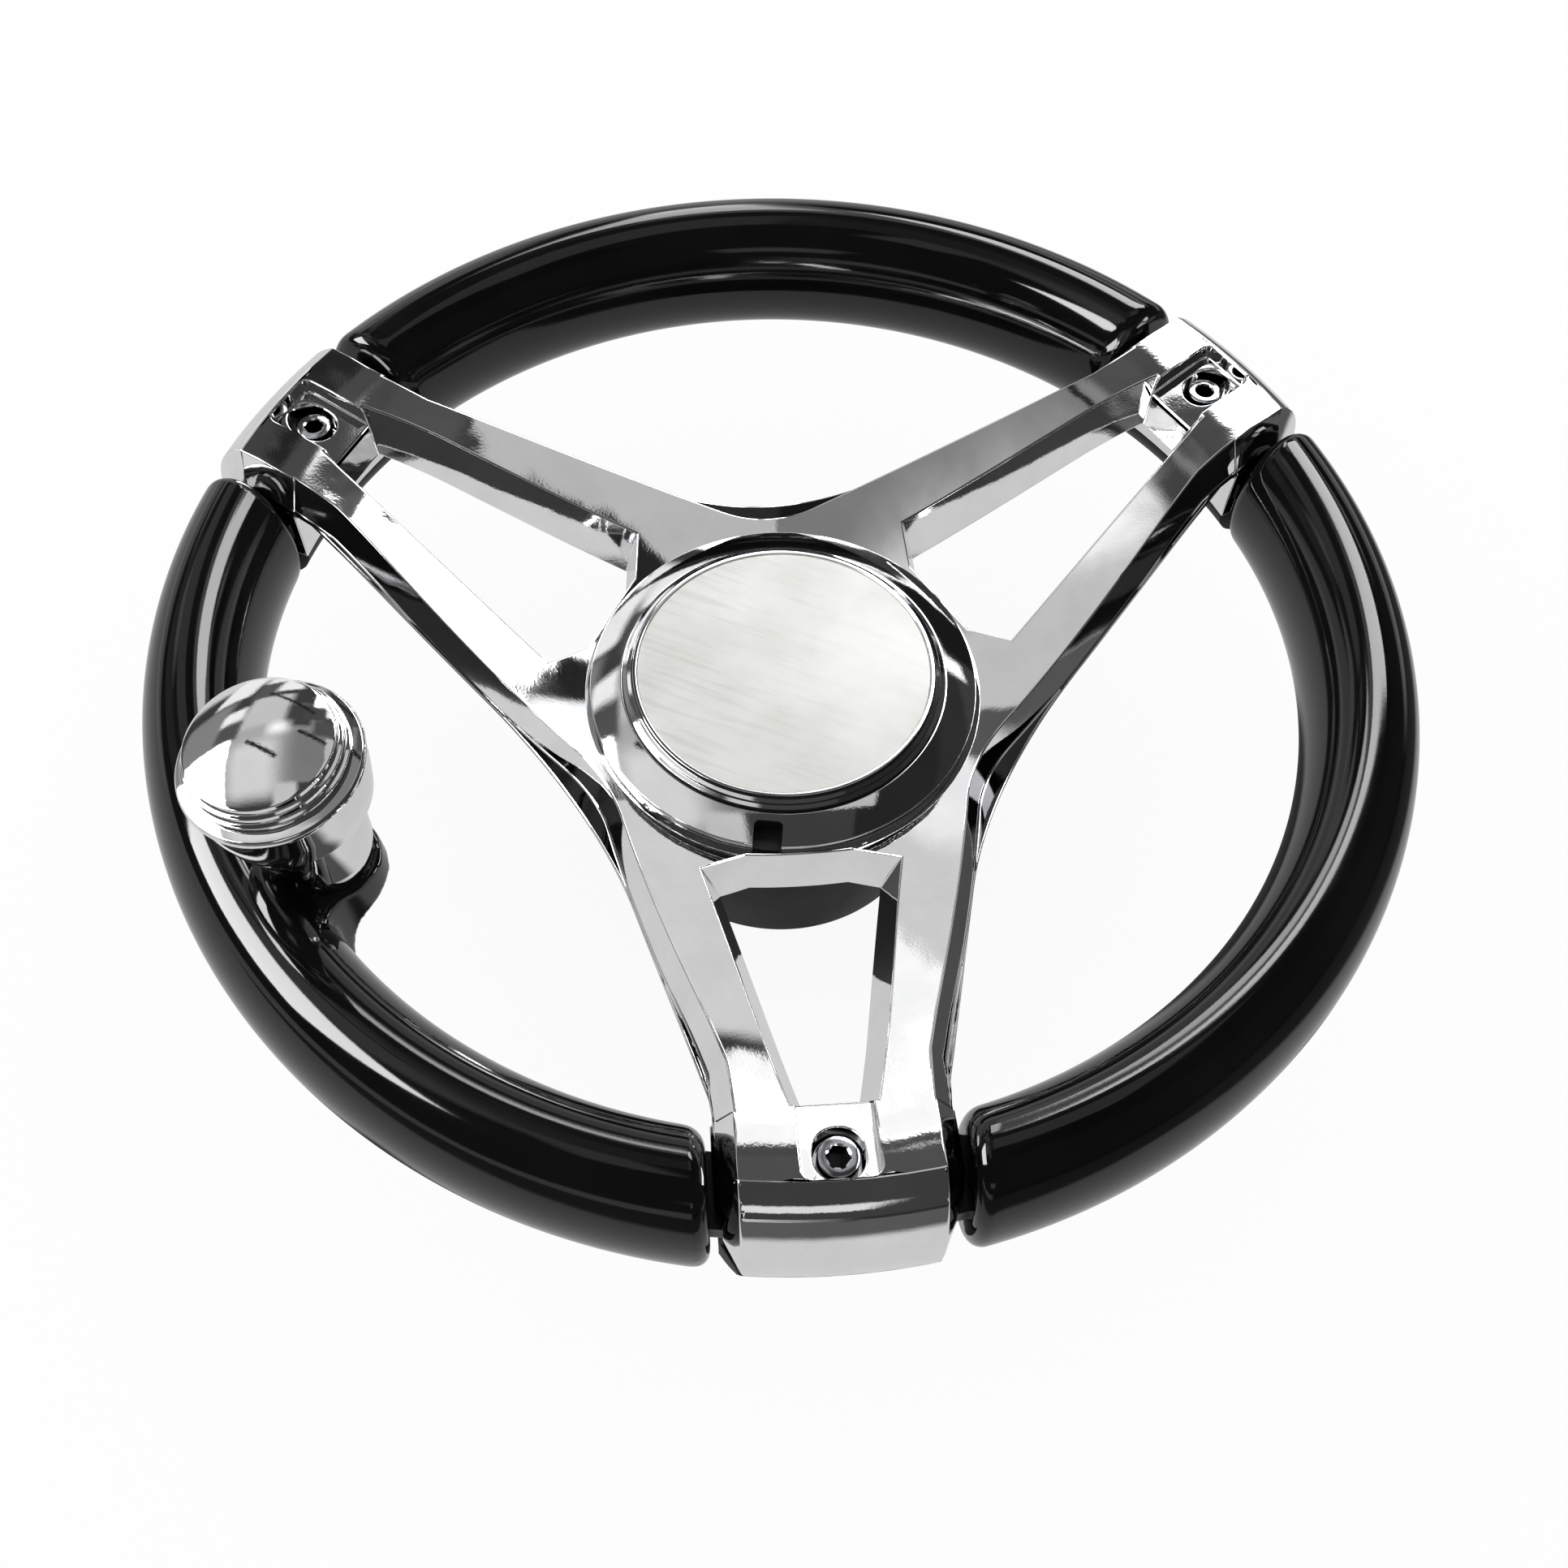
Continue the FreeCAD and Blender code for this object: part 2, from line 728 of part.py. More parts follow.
counterbore = new_body("counterbore")
pad(counterbore, "counterbore_pad", lambda sketch: obround(
    sketch, s.screw_reach, s.counterbore_half_length, s.counterbore_half_width),
    s.counterbore_floor, s.dish_end_height - s.counterbore_floor + 5)

spoke_hole = round_bar(
    "spoke_hole", s.spoke_screw_radius + s.spoke_screw_clearance, s.clamp_bottom, as_size(40))
bind(spoke_hole, "Placement.Base.x", s.screw_reach)
spoke_cuts = three_spokes("spoke_cuts", fuse(
    "spoke_cutter", [long_slot, hub_slot, recess_tool, counterbore, spoke_hole]))

core_top = s.derived("core_top", s.rim_height + s.core_thickness / 2)
core_bottom = s.derived("core_bottom", s.rim_height - s.core_thickness / 2)
channel_inner = s.derived("channel_inner", s.core_inner_radius - s.core_clearance)
channel_outer = s.derived("channel_outer", s.core_outer_radius + s.core_clearance)
core_channel = new_body("core_channel")
revolve(core_channel, "core_channel_turn", [
    (channel_inner, s.block_bottom - 5),
    (channel_outer, s.block_bottom - 5),
    (channel_outer, core_top + s.core_clearance),
    (channel_inner, core_top + s.core_clearance),
])


def ring_of(name, make, radius, count):
    """Equal members on a circle, the first on the x axis."""
    members = []
    for index in range(count):
        member = make("%s_%d" % (name, index + 1))
        turn = math.radians(index * 360.0 / count)
        bind(member, "Placement.Base.x", radius * round(math.cos(turn), 9))
        bind(member, "Placement.Base.y", radius * round(math.sin(turn), 9))
        members.append(member)
    return members


hub_screw_total = int(s.hub_screw_count.number)
frame_taps = group("frame_taps", ring_of("frame_tap", lambda name: round_bar(
    name, s.hub_screw_radius, s.hub_plate_bottom - 1, s.hub_screw_hole_top - s.hub_plate_bottom + 1),
    s.hub_screw_circle, hub_screw_total))

opened_frame = combine("Cut", "opened_frame", frame_solid, spoke_cuts)
channelled_frame = combine("Cut", "channelled_frame", opened_frame, core_channel)
spoke_frame = combine("Cut", "spoke_frame", channelled_frame, frame_taps)

# Rim core: a flat steel ring, drilled and tapped for the spoke screws

core_ring = new_body("core_ring")
revolve(core_ring, "core_ring_turn", [
    (s.core_inner_radius, core_bottom),
    (s.core_outer_radius, core_bottom),
    (s.core_outer_radius, core_top),
    (s.core_inner_radius, core_top),
])
core_hole = round_bar("core_hole", s.spoke_screw_radius, core_bottom - 1, s.core_thickness + 2)
bind(core_hole, "Placement.Base.x", s.screw_reach)
rim_core = combine("Cut", "rim_core", core_ring, three_spokes("core_holes", core_hole))

# Grips: three moulded lengths of oval rim over the core

channel = new_body("grip_channel")
revolve(channel, "grip_channel_turn", [
    (channel_inner, core_bottom - s.core_clearance),
    (channel_outer, core_bottom - s.core_clearance),
    (channel_outer, core_top + s.core_clearance),
    (channel_inner, core_top + s.core_clearance),
])
end_zone = block_box("end_zone", as_size(60), (s.block_half_width + s.grip_end_gap) * 2, as_size(60),
                     s.rim_radius - 35, s.rim_height - 30)
end_zones = three_spokes("end_zones", end_zone)


def oval_length(name, middle):
    oval = doc.addObject("Part::Ellipse", name + "_oval")
    bind(oval, "MajorRadius", s.grip_half_height)
    bind(oval, "MinorRadius", s.grip_half_width)
    turn = FreeCAD.Rotation(FreeCAD.Vector(0, 0, 1), middle)
    stand = FreeCAD.Rotation(FreeCAD.Vector(1, 1, 1), 240)
    oval.Placement = FreeCAD.Placement(FreeCAD.Vector(0, 0, 0), turn.multiply(stand))
    bind(oval, "Placement.Base.x", s.rim_radius * round(math.cos(math.radians(middle)), 9))
    bind(oval, "Placement.Base.y", s.rim_radius * round(math.sin(math.radians(middle)), 9))
    bind(oval, "Placement.Base.z", s.rim_height)
    swept = doc.addObject("Part::Revolution", name + "_swept")
    swept.Source = oval
    swept.Axis = (0, 0, 1)
    swept.Base = (0, 0, 0)
    swept.Angle = 118.0
    swept.Symmetric = True
    swept.Solid = True
    trimmed = combine("Cut", name + "_trimmed", swept, end_zones)
    doc.recompute()
    section = math.pi * (s.grip_half_height.number + s.grip_half_width.number)
    ends = [edge for edge in trimmed.Shape.Edges if 0.8 * section < edge.Length < 1.2 * section]
    return rounded(name + "_rounded", trimmed, s.grip_end_round,
                   lambda edge: any(edge.isSame(end) for end in ends))


grip_top = combine("Cut", "grip_top", oval_length("grip_top", 90.0), channel)
grip_right = combine("Cut", "grip_right", oval_length("grip_right", 330.0), channel)


# Knob pieces stand on a tilted axis: drawn upright about Z, then moved to the rim

knob_turn = FreeCAD.Rotation(FreeCAD.Vector(0, 0, 1), KNOB_ANGLE).multiply(
    FreeCAD.Rotation(FreeCAD.Vector(0, 1, 0), s.knob_lean.number))


def onto_knob_axis(target):
    target.Placement = FreeCAD.Placement(FreeCAD.Vector(0, 0, 0), knob_turn)
    bind(target, "Placement.Base.x", s.knob_circle * round(math.cos(math.radians(KNOB_ANGLE)), 9))
    bind(target, "Placement.Base.y", s.knob_circle * round(math.sin(math.radians(KNOB_ANGLE)), 9))
    bind(target, "Placement.Base.z", s.rim_height)
    return target


def knob_piece(name, corners):
    body = new_body(name)
    revolve(body, name + "_turn", corners)
    return onto_knob_axis(body)


# Boss for the knob, moulded with the left grip
flank_shift = s.boss_flank_level - s.boss_flank_radius
flank_span = s.boss_radius + s.boss_flank_radius
flank_reach = s.derived("flank_reach", root(flank_span * flank_span - flank_shift * flank_shift))
doc.recompute()
touch_x = flank_shift * s.boss_radius / flank_span
touch_y = flank_reach * s.boss_radius / flank_span
boss = new_body("boss")
pad(boss, "boss_pad", lambda sketch: draw_outline(sketch, [
    (s.boss_depth, -flank_reach),
    (s.boss_flank_level, -flank_reach, s.boss_flank_radius),
    (touch_x, -touch_y, ("right", s.boss_radius)),
    (touch_x, touch_y, s.boss_flank_radius),
    (s.boss_flank_level, flank_reach),
    (s.boss_depth, flank_reach),
]), s.boss_bottom, s.boss_top - s.boss_bottom)
boss_hollow = new_body("boss_hollow")
hollow_sketch = new_sketch(boss_hollow, "boss_hollow_side", "XZ_Plane")
hollow_end = s.boss_sweep_reach + s.boss_sweep_end - s.boss_bottom
draw_outline(hollow_sketch, [
    (-40, s.boss_sweep_start),
    (-40, s.boss_bottom - 5),
    (hollow_end, s.boss_bottom - 5),
    (hollow_end, s.boss_bottom),
    (s.boss_sweep_reach, s.boss_sweep_end, s.boss_sweep),
    (-s.boss_radius - 1, s.boss_sweep_start),
])
hollow_pad = boss_hollow.newObject("PartDesign::Pad", "boss_hollow_pad")
hollow_pad.Profile = hollow_sketch
bind(hollow_pad, "Length", flank_reach * 2 + 10)
hollow_pad.Midplane = True
boss_swept = combine("Cut", "boss_swept", boss, boss_hollow)
boss_softened = rounded("boss_softened", boss_swept, s.boss_round, lambda edge: (
    abs(edge.CenterOfMass.z - s.boss_top.number) < 0.01 and edge.CenterOfMass.x < s.boss_flank_level.number))
onto_knob_axis(boss_softened)
oval_left = oval_length("grip_left", KNOB_ANGLE)
grip_with_boss = fuse("grip_with_boss", [oval_left, boss_softened])
insert_hole = onto_knob_axis(new_body("insert_hole"))
revolve(insert_hole, "insert_hole_turn", [
    (0, s.brass_insert_bottom),
    (s.brass_insert_radius, s.brass_insert_bottom),
    (s.brass_insert_radius, s.boss_top + 20),
    (0, s.boss_top + 20),
])
grip_left = combine("Cut", "grip_left", combine("Cut", "grip_bored", grip_with_boss, insert_hole), channel)

# Rear clamps: black covers under the rim blocks that hold the core up into them

clamp_half_width = s.block_half_width - s.clamp_side_inset
clamp_top = s.block_bottom - s.clamp_gap
clamp_inner = s.block_inner_radius + 0.3
clamp_outer = s.block_outer_radius - 0.1


def build_clamp(word, angle):
    name = "rear_clamp_" + word
    turned = new_body(name + "_ring")
    revolve(turned, name + "_turn", [
        (clamp_inner, clamp_top, s.clamp_round),
        (s.rim_radius, s.clamp_bottom, s.clamp_round),
        (clamp_outer, clamp_top),
        (channel_outer - 0.3, clamp_top),
        (channel_outer - 0.3, core_bottom - s.clamp_gap),
        (channel_inner + 0.3, core_bottom - s.clamp_gap),
        (channel_inner + 0.3, clamp_top),
    ])
    zone = block_box(name + "_zone", as_size(50), clamp_half_width * 2, as_size(40),
                     s.block_inner_radius - 8, s.clamp_bottom - 5)
    tap = round_bar(name + "_tap", s.spoke_screw_radius, s.spoke_screw_tip - 1, as_size(30))
    bind(tap, "Placement.Base.x", s.screw_reach)
    cut = combine("Cut", name + "_bored", combine("Common", name + "_length", turned, zone), tap)
    clamp = doc.addObject("Part::Compound", name)
    clamp.Label = name
    clamp.Links = [cut]
    turn_about_z(clamp, angle)
    return clamp


def socket_screw(name, radius, head_radius, head_height, hex_size, head_top, tip):
    """Screw with its head up: head, shank and a hexagon socket."""
    body = new_body(name)
    revolve(body, name + "_turn", [
        (0, tip),
        (radius - 0.6, tip),
        (radius, tip + 0.6),
        (radius, head_top - head_height),
        (head_radius, head_top - head_height),
        (head_radius, head_top - 0.6),
        (head_radius - 0.6, head_top),
        (0, head_top),
    ])
    across = hex_size / 1.732050808
    corners = [(across * round(math.cos(math.radians(60 * n)), 9),
                across * round(math.sin(math.radians(60 * n)), 9))
               for n in range(6)]
    pocket(body, name + "_socket", lambda sketch: draw_outline(sketch, corners), head_top, s.hex_depth)
    return body


clamps = {}
spoke_screws = {}
for word, angle in SPOKE_ANGLES.items():
    clamps[word] = build_clamp(word, angle)
    screw = socket_screw("spoke_screw_" + word, s.spoke_screw_radius, s.spoke_screw_head_radius,
                         s.spoke_screw_head_height, s.spoke_screw_hex,
                         s.counterbore_floor + s.spoke_screw_head_height, s.spoke_screw_tip)
    x, y = placed_on(angle, s.screw_reach, 0)
    bind(screw, "Placement.Base.x", x)
    bind(screw, "Placement.Base.y", y)
    spoke_screws[word] = screw

# Hub carrier: flanged aluminium sleeve with the tapered bore, keyway and nut pocket

flange_bottom = s.hub_plate_bottom - s.carrier_flange_thickness
taper_small = s.taper_large_radius - s.taper_top / (s.taper_ratio * 2)
carrier_blank = new_body("carrier_blank")
revolve(carrier_blank, "carrier_turn", [
    (s.taper_large_radius, 0),
    (s.carrier_sleeve_radius, 0),
    (s.carrier_sleeve_radius, flange_bottom),
    (s.carrier_flange_radius, flange_bottom),
    (s.carrier_flange_radius, s.hub_plate_bottom),
    (s.nut_pocket_radius, s.hub_plate_bottom),
    (s.nut_pocket_radius, s.taper_top),
    (taper_small, s.taper_top),
])
keyway = block_box("keyway", s.taper_large_radius + s.key_depth, s.key_width, s.taper_top + 2,
                   as_size(0), as_size(-1))
carrier_holes = group("carrier_holes", ring_of("carrier_hole", lambda name: round_bar(
    name, s.hub_screw_radius + s.hub_screw_clearance, flange_bottom - 1, s.carrier_flange_thickness + 2),
    s.hub_screw_circle, hub_screw_total))
carrier_keyed = combine("Cut", "carrier_keyed", carrier_blank, keyway)
hub_carrier = combine("Cut", "hub_carrier", carrier_keyed, carrier_holes)

# Hub screws: their heads sit under the flange, so each is drawn head down


def hub_screw(name):
    shank = round_bar(name + "_shank", s.hub_screw_radius, flange_bottom, s.hub_screw_length)
    head = round_bar(name + "_head", s.hub_screw_head_radius, flange_bottom - s.hub_screw_head_height,
                     s.hub_screw_head_height)
    socket = doc.addObject("Part::Prism", name + "_socket")
    socket.Polygon = 6
    bind(socket, "Circumradius", s.spindle_hex / 1.732050808)
    bind(socket, "Height", s.hex_depth)
    bind(socket, "Placement.Base.z", flange_bottom - s.hub_screw_head_height)
    return combine("Cut", name, fuse(name + "_solid", [shank, head]), socket)


hub_screws = group("hub_screws", ring_of("hub_screw", hub_screw, s.hub_screw_circle, hub_screw_total))

# Hub shroud: slightly tapered cover around the carrier, with a floor around the sleeve

hub_shroud = new_body("hub_shroud")
revolve(hub_shroud, "shroud_turn", [
    (s.carrier_sleeve_radius + s.carrier_clearance, 0),
    (s.hub_base_radius - 1.5, 0),
    (s.hub_base_radius, 1.5),
    (s.hub_top_radius, s.hub_plate_bottom),
    (s.hub_top_radius - s.shroud_wall, s.hub_plate_bottom),
    (s.hub_base_radius - s.shroud_wall, s.shroud_floor),
    (s.carrier_sleeve_radius + s.carrier_clearance, s.shroud_floor),
])

# Bezel: chromed cone ring on the spoke frame, with a pry notch towards the lower spoke

bezel_base = cone_height(s.bezel_radius)
bezel_blank = new_body("bezel_blank")
revolve(bezel_blank, "bezel_turn", [
    (s.bezel_bore_radius, s.hub_plate_top),
    (s.dish_root_radius, s.hub_plate_top),
    (s.bezel_radius, bezel_base),
    (s.bezel_radius, bezel_base + s.bezel_edge),
    (s.bezel_top_radius, s.bezel_top_height),
    (s.trim_outer_radius + s.trim_clearance, s.bezel_top_height),
    (s.trim_outer_radius + s.trim_clearance, s.bezel_seat_height),
    (s.bezel_bore_radius, s.bezel_seat_height),
])
notch_half = s.notch_width / 2
notch = new_body("notch")
pad(notch, "notch_pad", lambda sketch: draw_outline(sketch, [
    (s.notch_reach + s.notch_corner, notch_half, s.notch_corner),
    (s.notch_reach, notch_half - s.notch_corner),
    (s.notch_reach, s.notch_corner - notch_half, s.notch_corner),
    (s.notch_reach + s.notch_corner, -notch_half),
    (s.bezel_radius + 5, -notch_half),
    (s.bezel_radius + 5, notch_half),
]), s.bezel_seat_height - s.notch_depth, as_size(20))
turn_about_z(notch, s.notch_angle.number)
bezel_ring = combine("Cut", "bezel_ring", bezel_blank, notch)

# Centre cap: plastic body with snap fingers, stepped chrome trim ring and a plain face disc

insert_top = s.trim_top_height - s.insert_drop
insert_bottom = insert_top - s.insert_thickness
insert_radius = s.trim_bore_radius - s.trim_clearance
cap_under = insert_bottom - s.cap_plate_thickness
cap_body = new_body("cap_body")
revolve(cap_body, "cap_turn", [
    (0, cap_under),
    (s.trim_outer_radius - s.cap_rim_width, cap_under),
    (s.trim_outer_radius - s.cap_rim_width, s.bezel_seat_height),
    (s.trim_outer_radius, s.bezel_seat_height),
    (s.trim_outer_radius, s.trim_seat_height),
    (insert_radius, s.trim_seat_height),
    (insert_radius, insert_bottom),
    (0, insert_bottom),
])
doc.recompute()
finger_outer = s.hub_plate_bore_radius - s.finger_clearance
finger = pad(cap_body, "finger", lambda sketch: draw_outline(sketch, [
    (finger_outer - s.finger_wall, -s.finger_width / 2),
    (finger_outer - 1, -s.finger_width / 2),
    (finger_outer - 1, s.finger_width / 2),
    (finger_outer - s.finger_wall, s.finger_width / 2),
]), s.finger_tip_height, cap_under - s.finger_tip_height)
repeat_round(cap_body, finger, "fingers", s.finger_count)
doc.recompute()
hook = pad(cap_body, "hook", lambda sketch: draw_outline(sketch, [
    (finger_outer - s.finger_wall, -s.finger_width / 2),
    (finger_outer - 1 + s.finger_hook, -s.finger_width / 2),
    (finger_outer - 1 + s.finger_hook, s.finger_width / 2),
    (finger_outer - s.finger_wall, s.finger_width / 2),
]), s.finger_tip_height, s.finger_hook_height)
repeat_round(cap_body, hook, "hooks", s.finger_count)

cap_trim = new_body("cap_trim")
revolve(cap_trim, "trim_turn", [
    (s.trim_bore_radius, s.trim_seat_height),
    (s.trim_outer_radius, s.trim_seat_height),
    (s.trim_outer_radius, s.trim_top_height - s.trim_step * 2 - 0.5),
    (s.trim_middle_radius, s.trim_top_height - s.trim_step * 2),
    (s.trim_middle_radius, s.trim_top_height - s.trim_step - 0.4),
    (s.trim_lip_radius, s.trim_top_height - s.trim_step),
    (s.trim_lip_radius, s.trim_top_height - 0.4),
    (s.trim_lip_radius - 0.5, s.trim_top_height),
    (s.trim_bore_radius, s.trim_top_height),
])

cap_insert = new_body("cap_insert")
revolve(cap_insert, "insert_turn", [
    (0, insert_bottom),
    (insert_radius, insert_bottom),
    (insert_radius, insert_top),
    (0, insert_top),
])

# Spinner knob: fixed insert, shoulder screw, pedestal and washer

knob_insert = knob_piece("knob_insert", [
    (s.spindle_thread_radius, s.brass_insert_bottom),
    (s.brass_insert_radius, s.brass_insert_bottom),
    (s.brass_insert_radius, s.boss_top),
    (s.spindle_thread_radius, s.boss_top),
])
stem_bore = s.spindle_radius + s.thread_clearance
knob_stem = knob_piece("knob_stem", [
    (stem_bore, s.boss_top),
    (s.stem_foot_radius, s.boss_top),
    (s.stem_waist_radius, s.stem_waist_height),
    (s.stem_top_radius, s.stem_top - 2),
    (s.stem_top_radius, s.stem_top - 0.5),
    (s.stem_top_radius - 0.5, s.stem_top),
    (stem_bore, s.stem_top),
])
washer_top = s.stem_top + s.washer_thickness
knob_washer = knob_piece("knob_washer", [
    (stem_bore, s.stem_top),
    (s.washer_radius, s.stem_top),
    (s.washer_radius, washer_top),
    (stem_bore, washer_top),
])
flange_foot = washer_top + s.end_play
web_bottom = flange_foot + s.bush_flange
web_top = web_bottom + s.bush_length * 2 + s.bush_spacing
head_under = web_top + s.bush_flange + s.end_play
spindle_top = head_under + s.spindle_head_height
knob_spindle = new_body("knob_spindle")
revolve(knob_spindle, "spindle_turn", [
    (0, s.spindle_thread_tip),
    (s.spindle_thread_radius, s.spindle_thread_tip),
    (s.spindle_thread_radius, s.boss_top),
    (s.spindle_radius, s.boss_top),
    (s.spindle_radius, head_under),
    (s.spindle_head_radius, head_under),
    (s.spindle_head_radius, spindle_top),
    (0, spindle_top),
])
hex_across = s.spindle_hex / 1.732050808
pocket(knob_spindle, "spindle_socket", lambda sketch: draw_outline(sketch, [
    (hex_across * round(math.cos(math.radians(60 * n)), 9),
     hex_across * round(math.sin(math.radians(60 * n)), 9))
    for n in range(6)]), spindle_top, s.hex_depth - 1)
onto_knob_axis(knob_spindle)

# Turning head of the knob: drum, cap and two flanged bushings

bush_bore = s.spindle_radius + s.spindle_fit
bush_radius = bush_bore + s.bush_wall
cavity_radius = s.stem_top_radius + s.knob_stem_gap
ring_low = s.knob_ring_height - s.knob_ring_thickness / 2
ring_high = s.knob_ring_height + s.knob_ring_thickness / 2
knob_shell = knob_piece("knob_shell", [
    (cavity_radius, s.knob_bottom),
    (s.knob_foot_radius - 1, s.knob_bottom),
    (s.knob_foot_radius + 0.6, s.knob_bottom + s.knob_foot_round),
    (s.knob_waist_radius, s.knob_waist_height),
    (s.knob_skirt_radius, ring_low, s.knob_ring_thickness * 0.6),
    (s.knob_skirt_radius, ring_high - 0.4),
    (s.knob_groove_radius, s.knob_split_height),
    (s.knob_well_radius, s.knob_split_height),
    (s.knob_well_radius, web_top),
    (bush_radius, web_top),
    (bush_radius, web_bottom),
    (cavity_radius, web_bottom),
])


def bushing(name, plain_end, flange_start, flange_end):
    """Flanged sleeve from its plain end to the outer face of its flange."""
    return knob_piece(name, [
        (bush_bore, plain_end),
        (bush_radius, plain_end),
        (bush_radius, flange_start),
        (s.bush_flange_radius, flange_start),
        (s.bush_flange_radius, flange_end),
        (bush_bore, flange_end),
    ])


bushing_lower = bushing("bushing_lower", web_bottom + s.bush_length, web_bottom, flange_foot)
bushing_upper = bushing("bushing_upper", web_top - s.bush_length, web_top, web_top + s.bush_flange)

spigot_radius = s.knob_well_radius - s.cap_spigot_clearance
dome_rise = s.cap_dome_height - s.cap_crown_height
dome_curve = (s.cap_crown_radius * s.cap_crown_radius + dome_rise * dome_rise) / (dome_rise * 2)
knob_cap = knob_piece("knob_cap", [
    (spigot_radius - s.cap_wall, s.knob_split_height - s.cap_spigot_depth + 1),
    (spigot_radius, s.knob_split_height - s.cap_spigot_depth + 1),
    (spigot_radius, s.knob_split_height),
    (s.knob_groove_radius, s.knob_split_height),
    (s.cap_ring_radius, s.knob_split_height + 0.7),
    (s.cap_ring_radius, s.cap_ring_height),
    (s.cap_step_radius, s.cap_ring_height + 0.3),
    (s.cap_step_radius, s.cap_step_height),
    (s.cap_crown_radius, s.cap_step_height + 0.3),
    (s.cap_crown_radius, s.cap_crown_height, dome_curve),
    (0, s.cap_dome_height),
    (0, s.cap_dome_height - s.cap_wall - 1),
    (spigot_radius - s.cap_wall, s.cap_crown_height - s.cap_wall),
])

# Check every sub-part, then write it under its own name

pieces = [
    spoke_frame, rim_core, grip_top, grip_right, grip_left,
    clamps["right"], clamps["left"], clamps["bottom"],
    spoke_screws["right"], spoke_screws["left"], spoke_screws["bottom"],
    hub_carrier, hub_screws, hub_shroud, bezel_ring, cap_body, cap_trim, cap_insert,
    knob_insert, knob_stem, knob_washer, knob_spindle,
    knob_shell, bushing_lower, bushing_upper, knob_cap,
]
doc.recompute()
for thing in doc.Objects:
    if "Invalid" in thing.State or "Error" in thing.State:
        raise RuntimeError("%s does not recompute" % thing.Label)
os.makedirs("parts", exist_ok=True)
for piece in pieces:
    shape = piece.Shape
    if shape.isNull() or not shape.isValid() or not shape.Solids:
        raise RuntimeError("%s has no valid solid" % piece.Label)
    shape.exportStep("parts/%s.step" % piece.Label)
doc.saveAs("boat_steering_wheel.FCStd")
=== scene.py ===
import math

import bmesh
import bpy
from mathutils import Matrix, Vector


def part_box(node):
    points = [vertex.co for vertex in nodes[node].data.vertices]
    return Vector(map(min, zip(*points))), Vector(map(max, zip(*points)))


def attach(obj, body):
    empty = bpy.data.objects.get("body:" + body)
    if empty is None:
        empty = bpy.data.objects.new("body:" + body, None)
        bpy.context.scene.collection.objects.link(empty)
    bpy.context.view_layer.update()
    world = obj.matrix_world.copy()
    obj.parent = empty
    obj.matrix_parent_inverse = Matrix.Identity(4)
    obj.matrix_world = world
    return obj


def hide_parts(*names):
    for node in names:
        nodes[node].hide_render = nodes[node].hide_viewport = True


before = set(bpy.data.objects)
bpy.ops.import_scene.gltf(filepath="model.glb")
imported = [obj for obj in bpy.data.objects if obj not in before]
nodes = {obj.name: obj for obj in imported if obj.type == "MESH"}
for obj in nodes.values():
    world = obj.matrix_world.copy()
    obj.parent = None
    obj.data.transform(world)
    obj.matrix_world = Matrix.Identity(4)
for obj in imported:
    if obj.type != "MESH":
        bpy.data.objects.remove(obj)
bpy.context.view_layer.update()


# Spoke frame: one polished casting with bright chrome plating, a hub plate, three forked dished
# spokes and three blocks that close the rim. The plating is mirror bright and follows the slight
# waviness of the casting under it; the lip below the edges is plated near black as painted shade.
# Screwed to the hub carrier from below.

def node_tree(name):
    """A fresh material with its nodes, its shader and the object's coordinates."""
    finish = bpy.data.materials.new(name)
    finish.use_nodes = True
    tree = finish.node_tree
    shader = tree.nodes["Principled BSDF"]
    place = tree.nodes.new("ShaderNodeTexCoord")
    return finish, tree, shader, place.outputs["Object"]


def noise(tree, place, scale, detail=3.0, roughness=0.5, stretch=(1, 1, 1), turn=0.0):
    """A cloudy value from 0 to 1, its pattern turned about Z and then squeezed along the axes."""
    swivel = tree.nodes.new("ShaderNodeMapping")
    swivel.inputs["Rotation"].default_value = (0, 0, turn)
    tree.links.new(place, swivel.inputs["Vector"])
    shift = tree.nodes.new("ShaderNodeMapping")
    shift.inputs["Scale"].default_value = stretch
    tree.links.new(swivel.outputs["Vector"], shift.inputs["Vector"])
    cloud = tree.nodes.new("ShaderNodeTexNoise")
    cloud.inputs["Scale"].default_value = scale
    cloud.inputs["Detail"].default_value = detail
    cloud.inputs["Roughness"].default_value = roughness
    tree.links.new(shift.outputs["Vector"], cloud.inputs["Vector"])
    return cloud.outputs["Fac"]


def spread(tree, value, low, high, start=0.3, end=0.7):
    """Maps a noise value onto a range of numbers."""
    span = tree.nodes.new("ShaderNodeMapRange")
    span.inputs["From Min"].default_value = start
    span.inputs["From Max"].default_value = end
    span.inputs["To Min"].default_value = low
    span.inputs["To Max"].default_value = high
    tree.links.new(value, span.inputs["Value"])
    return span.outputs["Result"]


def tint(tree, value, low, high, start=0.3, end=0.7):
    """Maps a noise value onto a run between two colours."""
    ramp = tree.nodes.new("ShaderNodeValToRGB")
    ramp.color_ramp.elements[0].position = start
    ramp.color_ramp.elements[1].position = end
    ramp.color_ramp.elements[0].color = (*low, 1)
    ramp.color_ramp.elements[1].color = (*high, 1)
    tree.links.new(value, ramp.inputs["Fac"])
    return ramp.outputs["Color"]


def relief(tree, shader, value, strength, distance, after=None):
    """Bumps from a noise value, on top of earlier bumps where they are given."""
    bump = tree.nodes.new("ShaderNodeBump")
    bump.inputs["Strength"].default_value = strength
    bump.inputs["Distance"].default_value = distance
    tree.links.new(value, bump.inputs["Height"])
    if after is not None:
        tree.links.new(after, bump.inputs["Normal"])
    tree.links.new(bump.outputs["Normal"], shader.inputs["Normal"])
    return bump.outputs["Normal"]


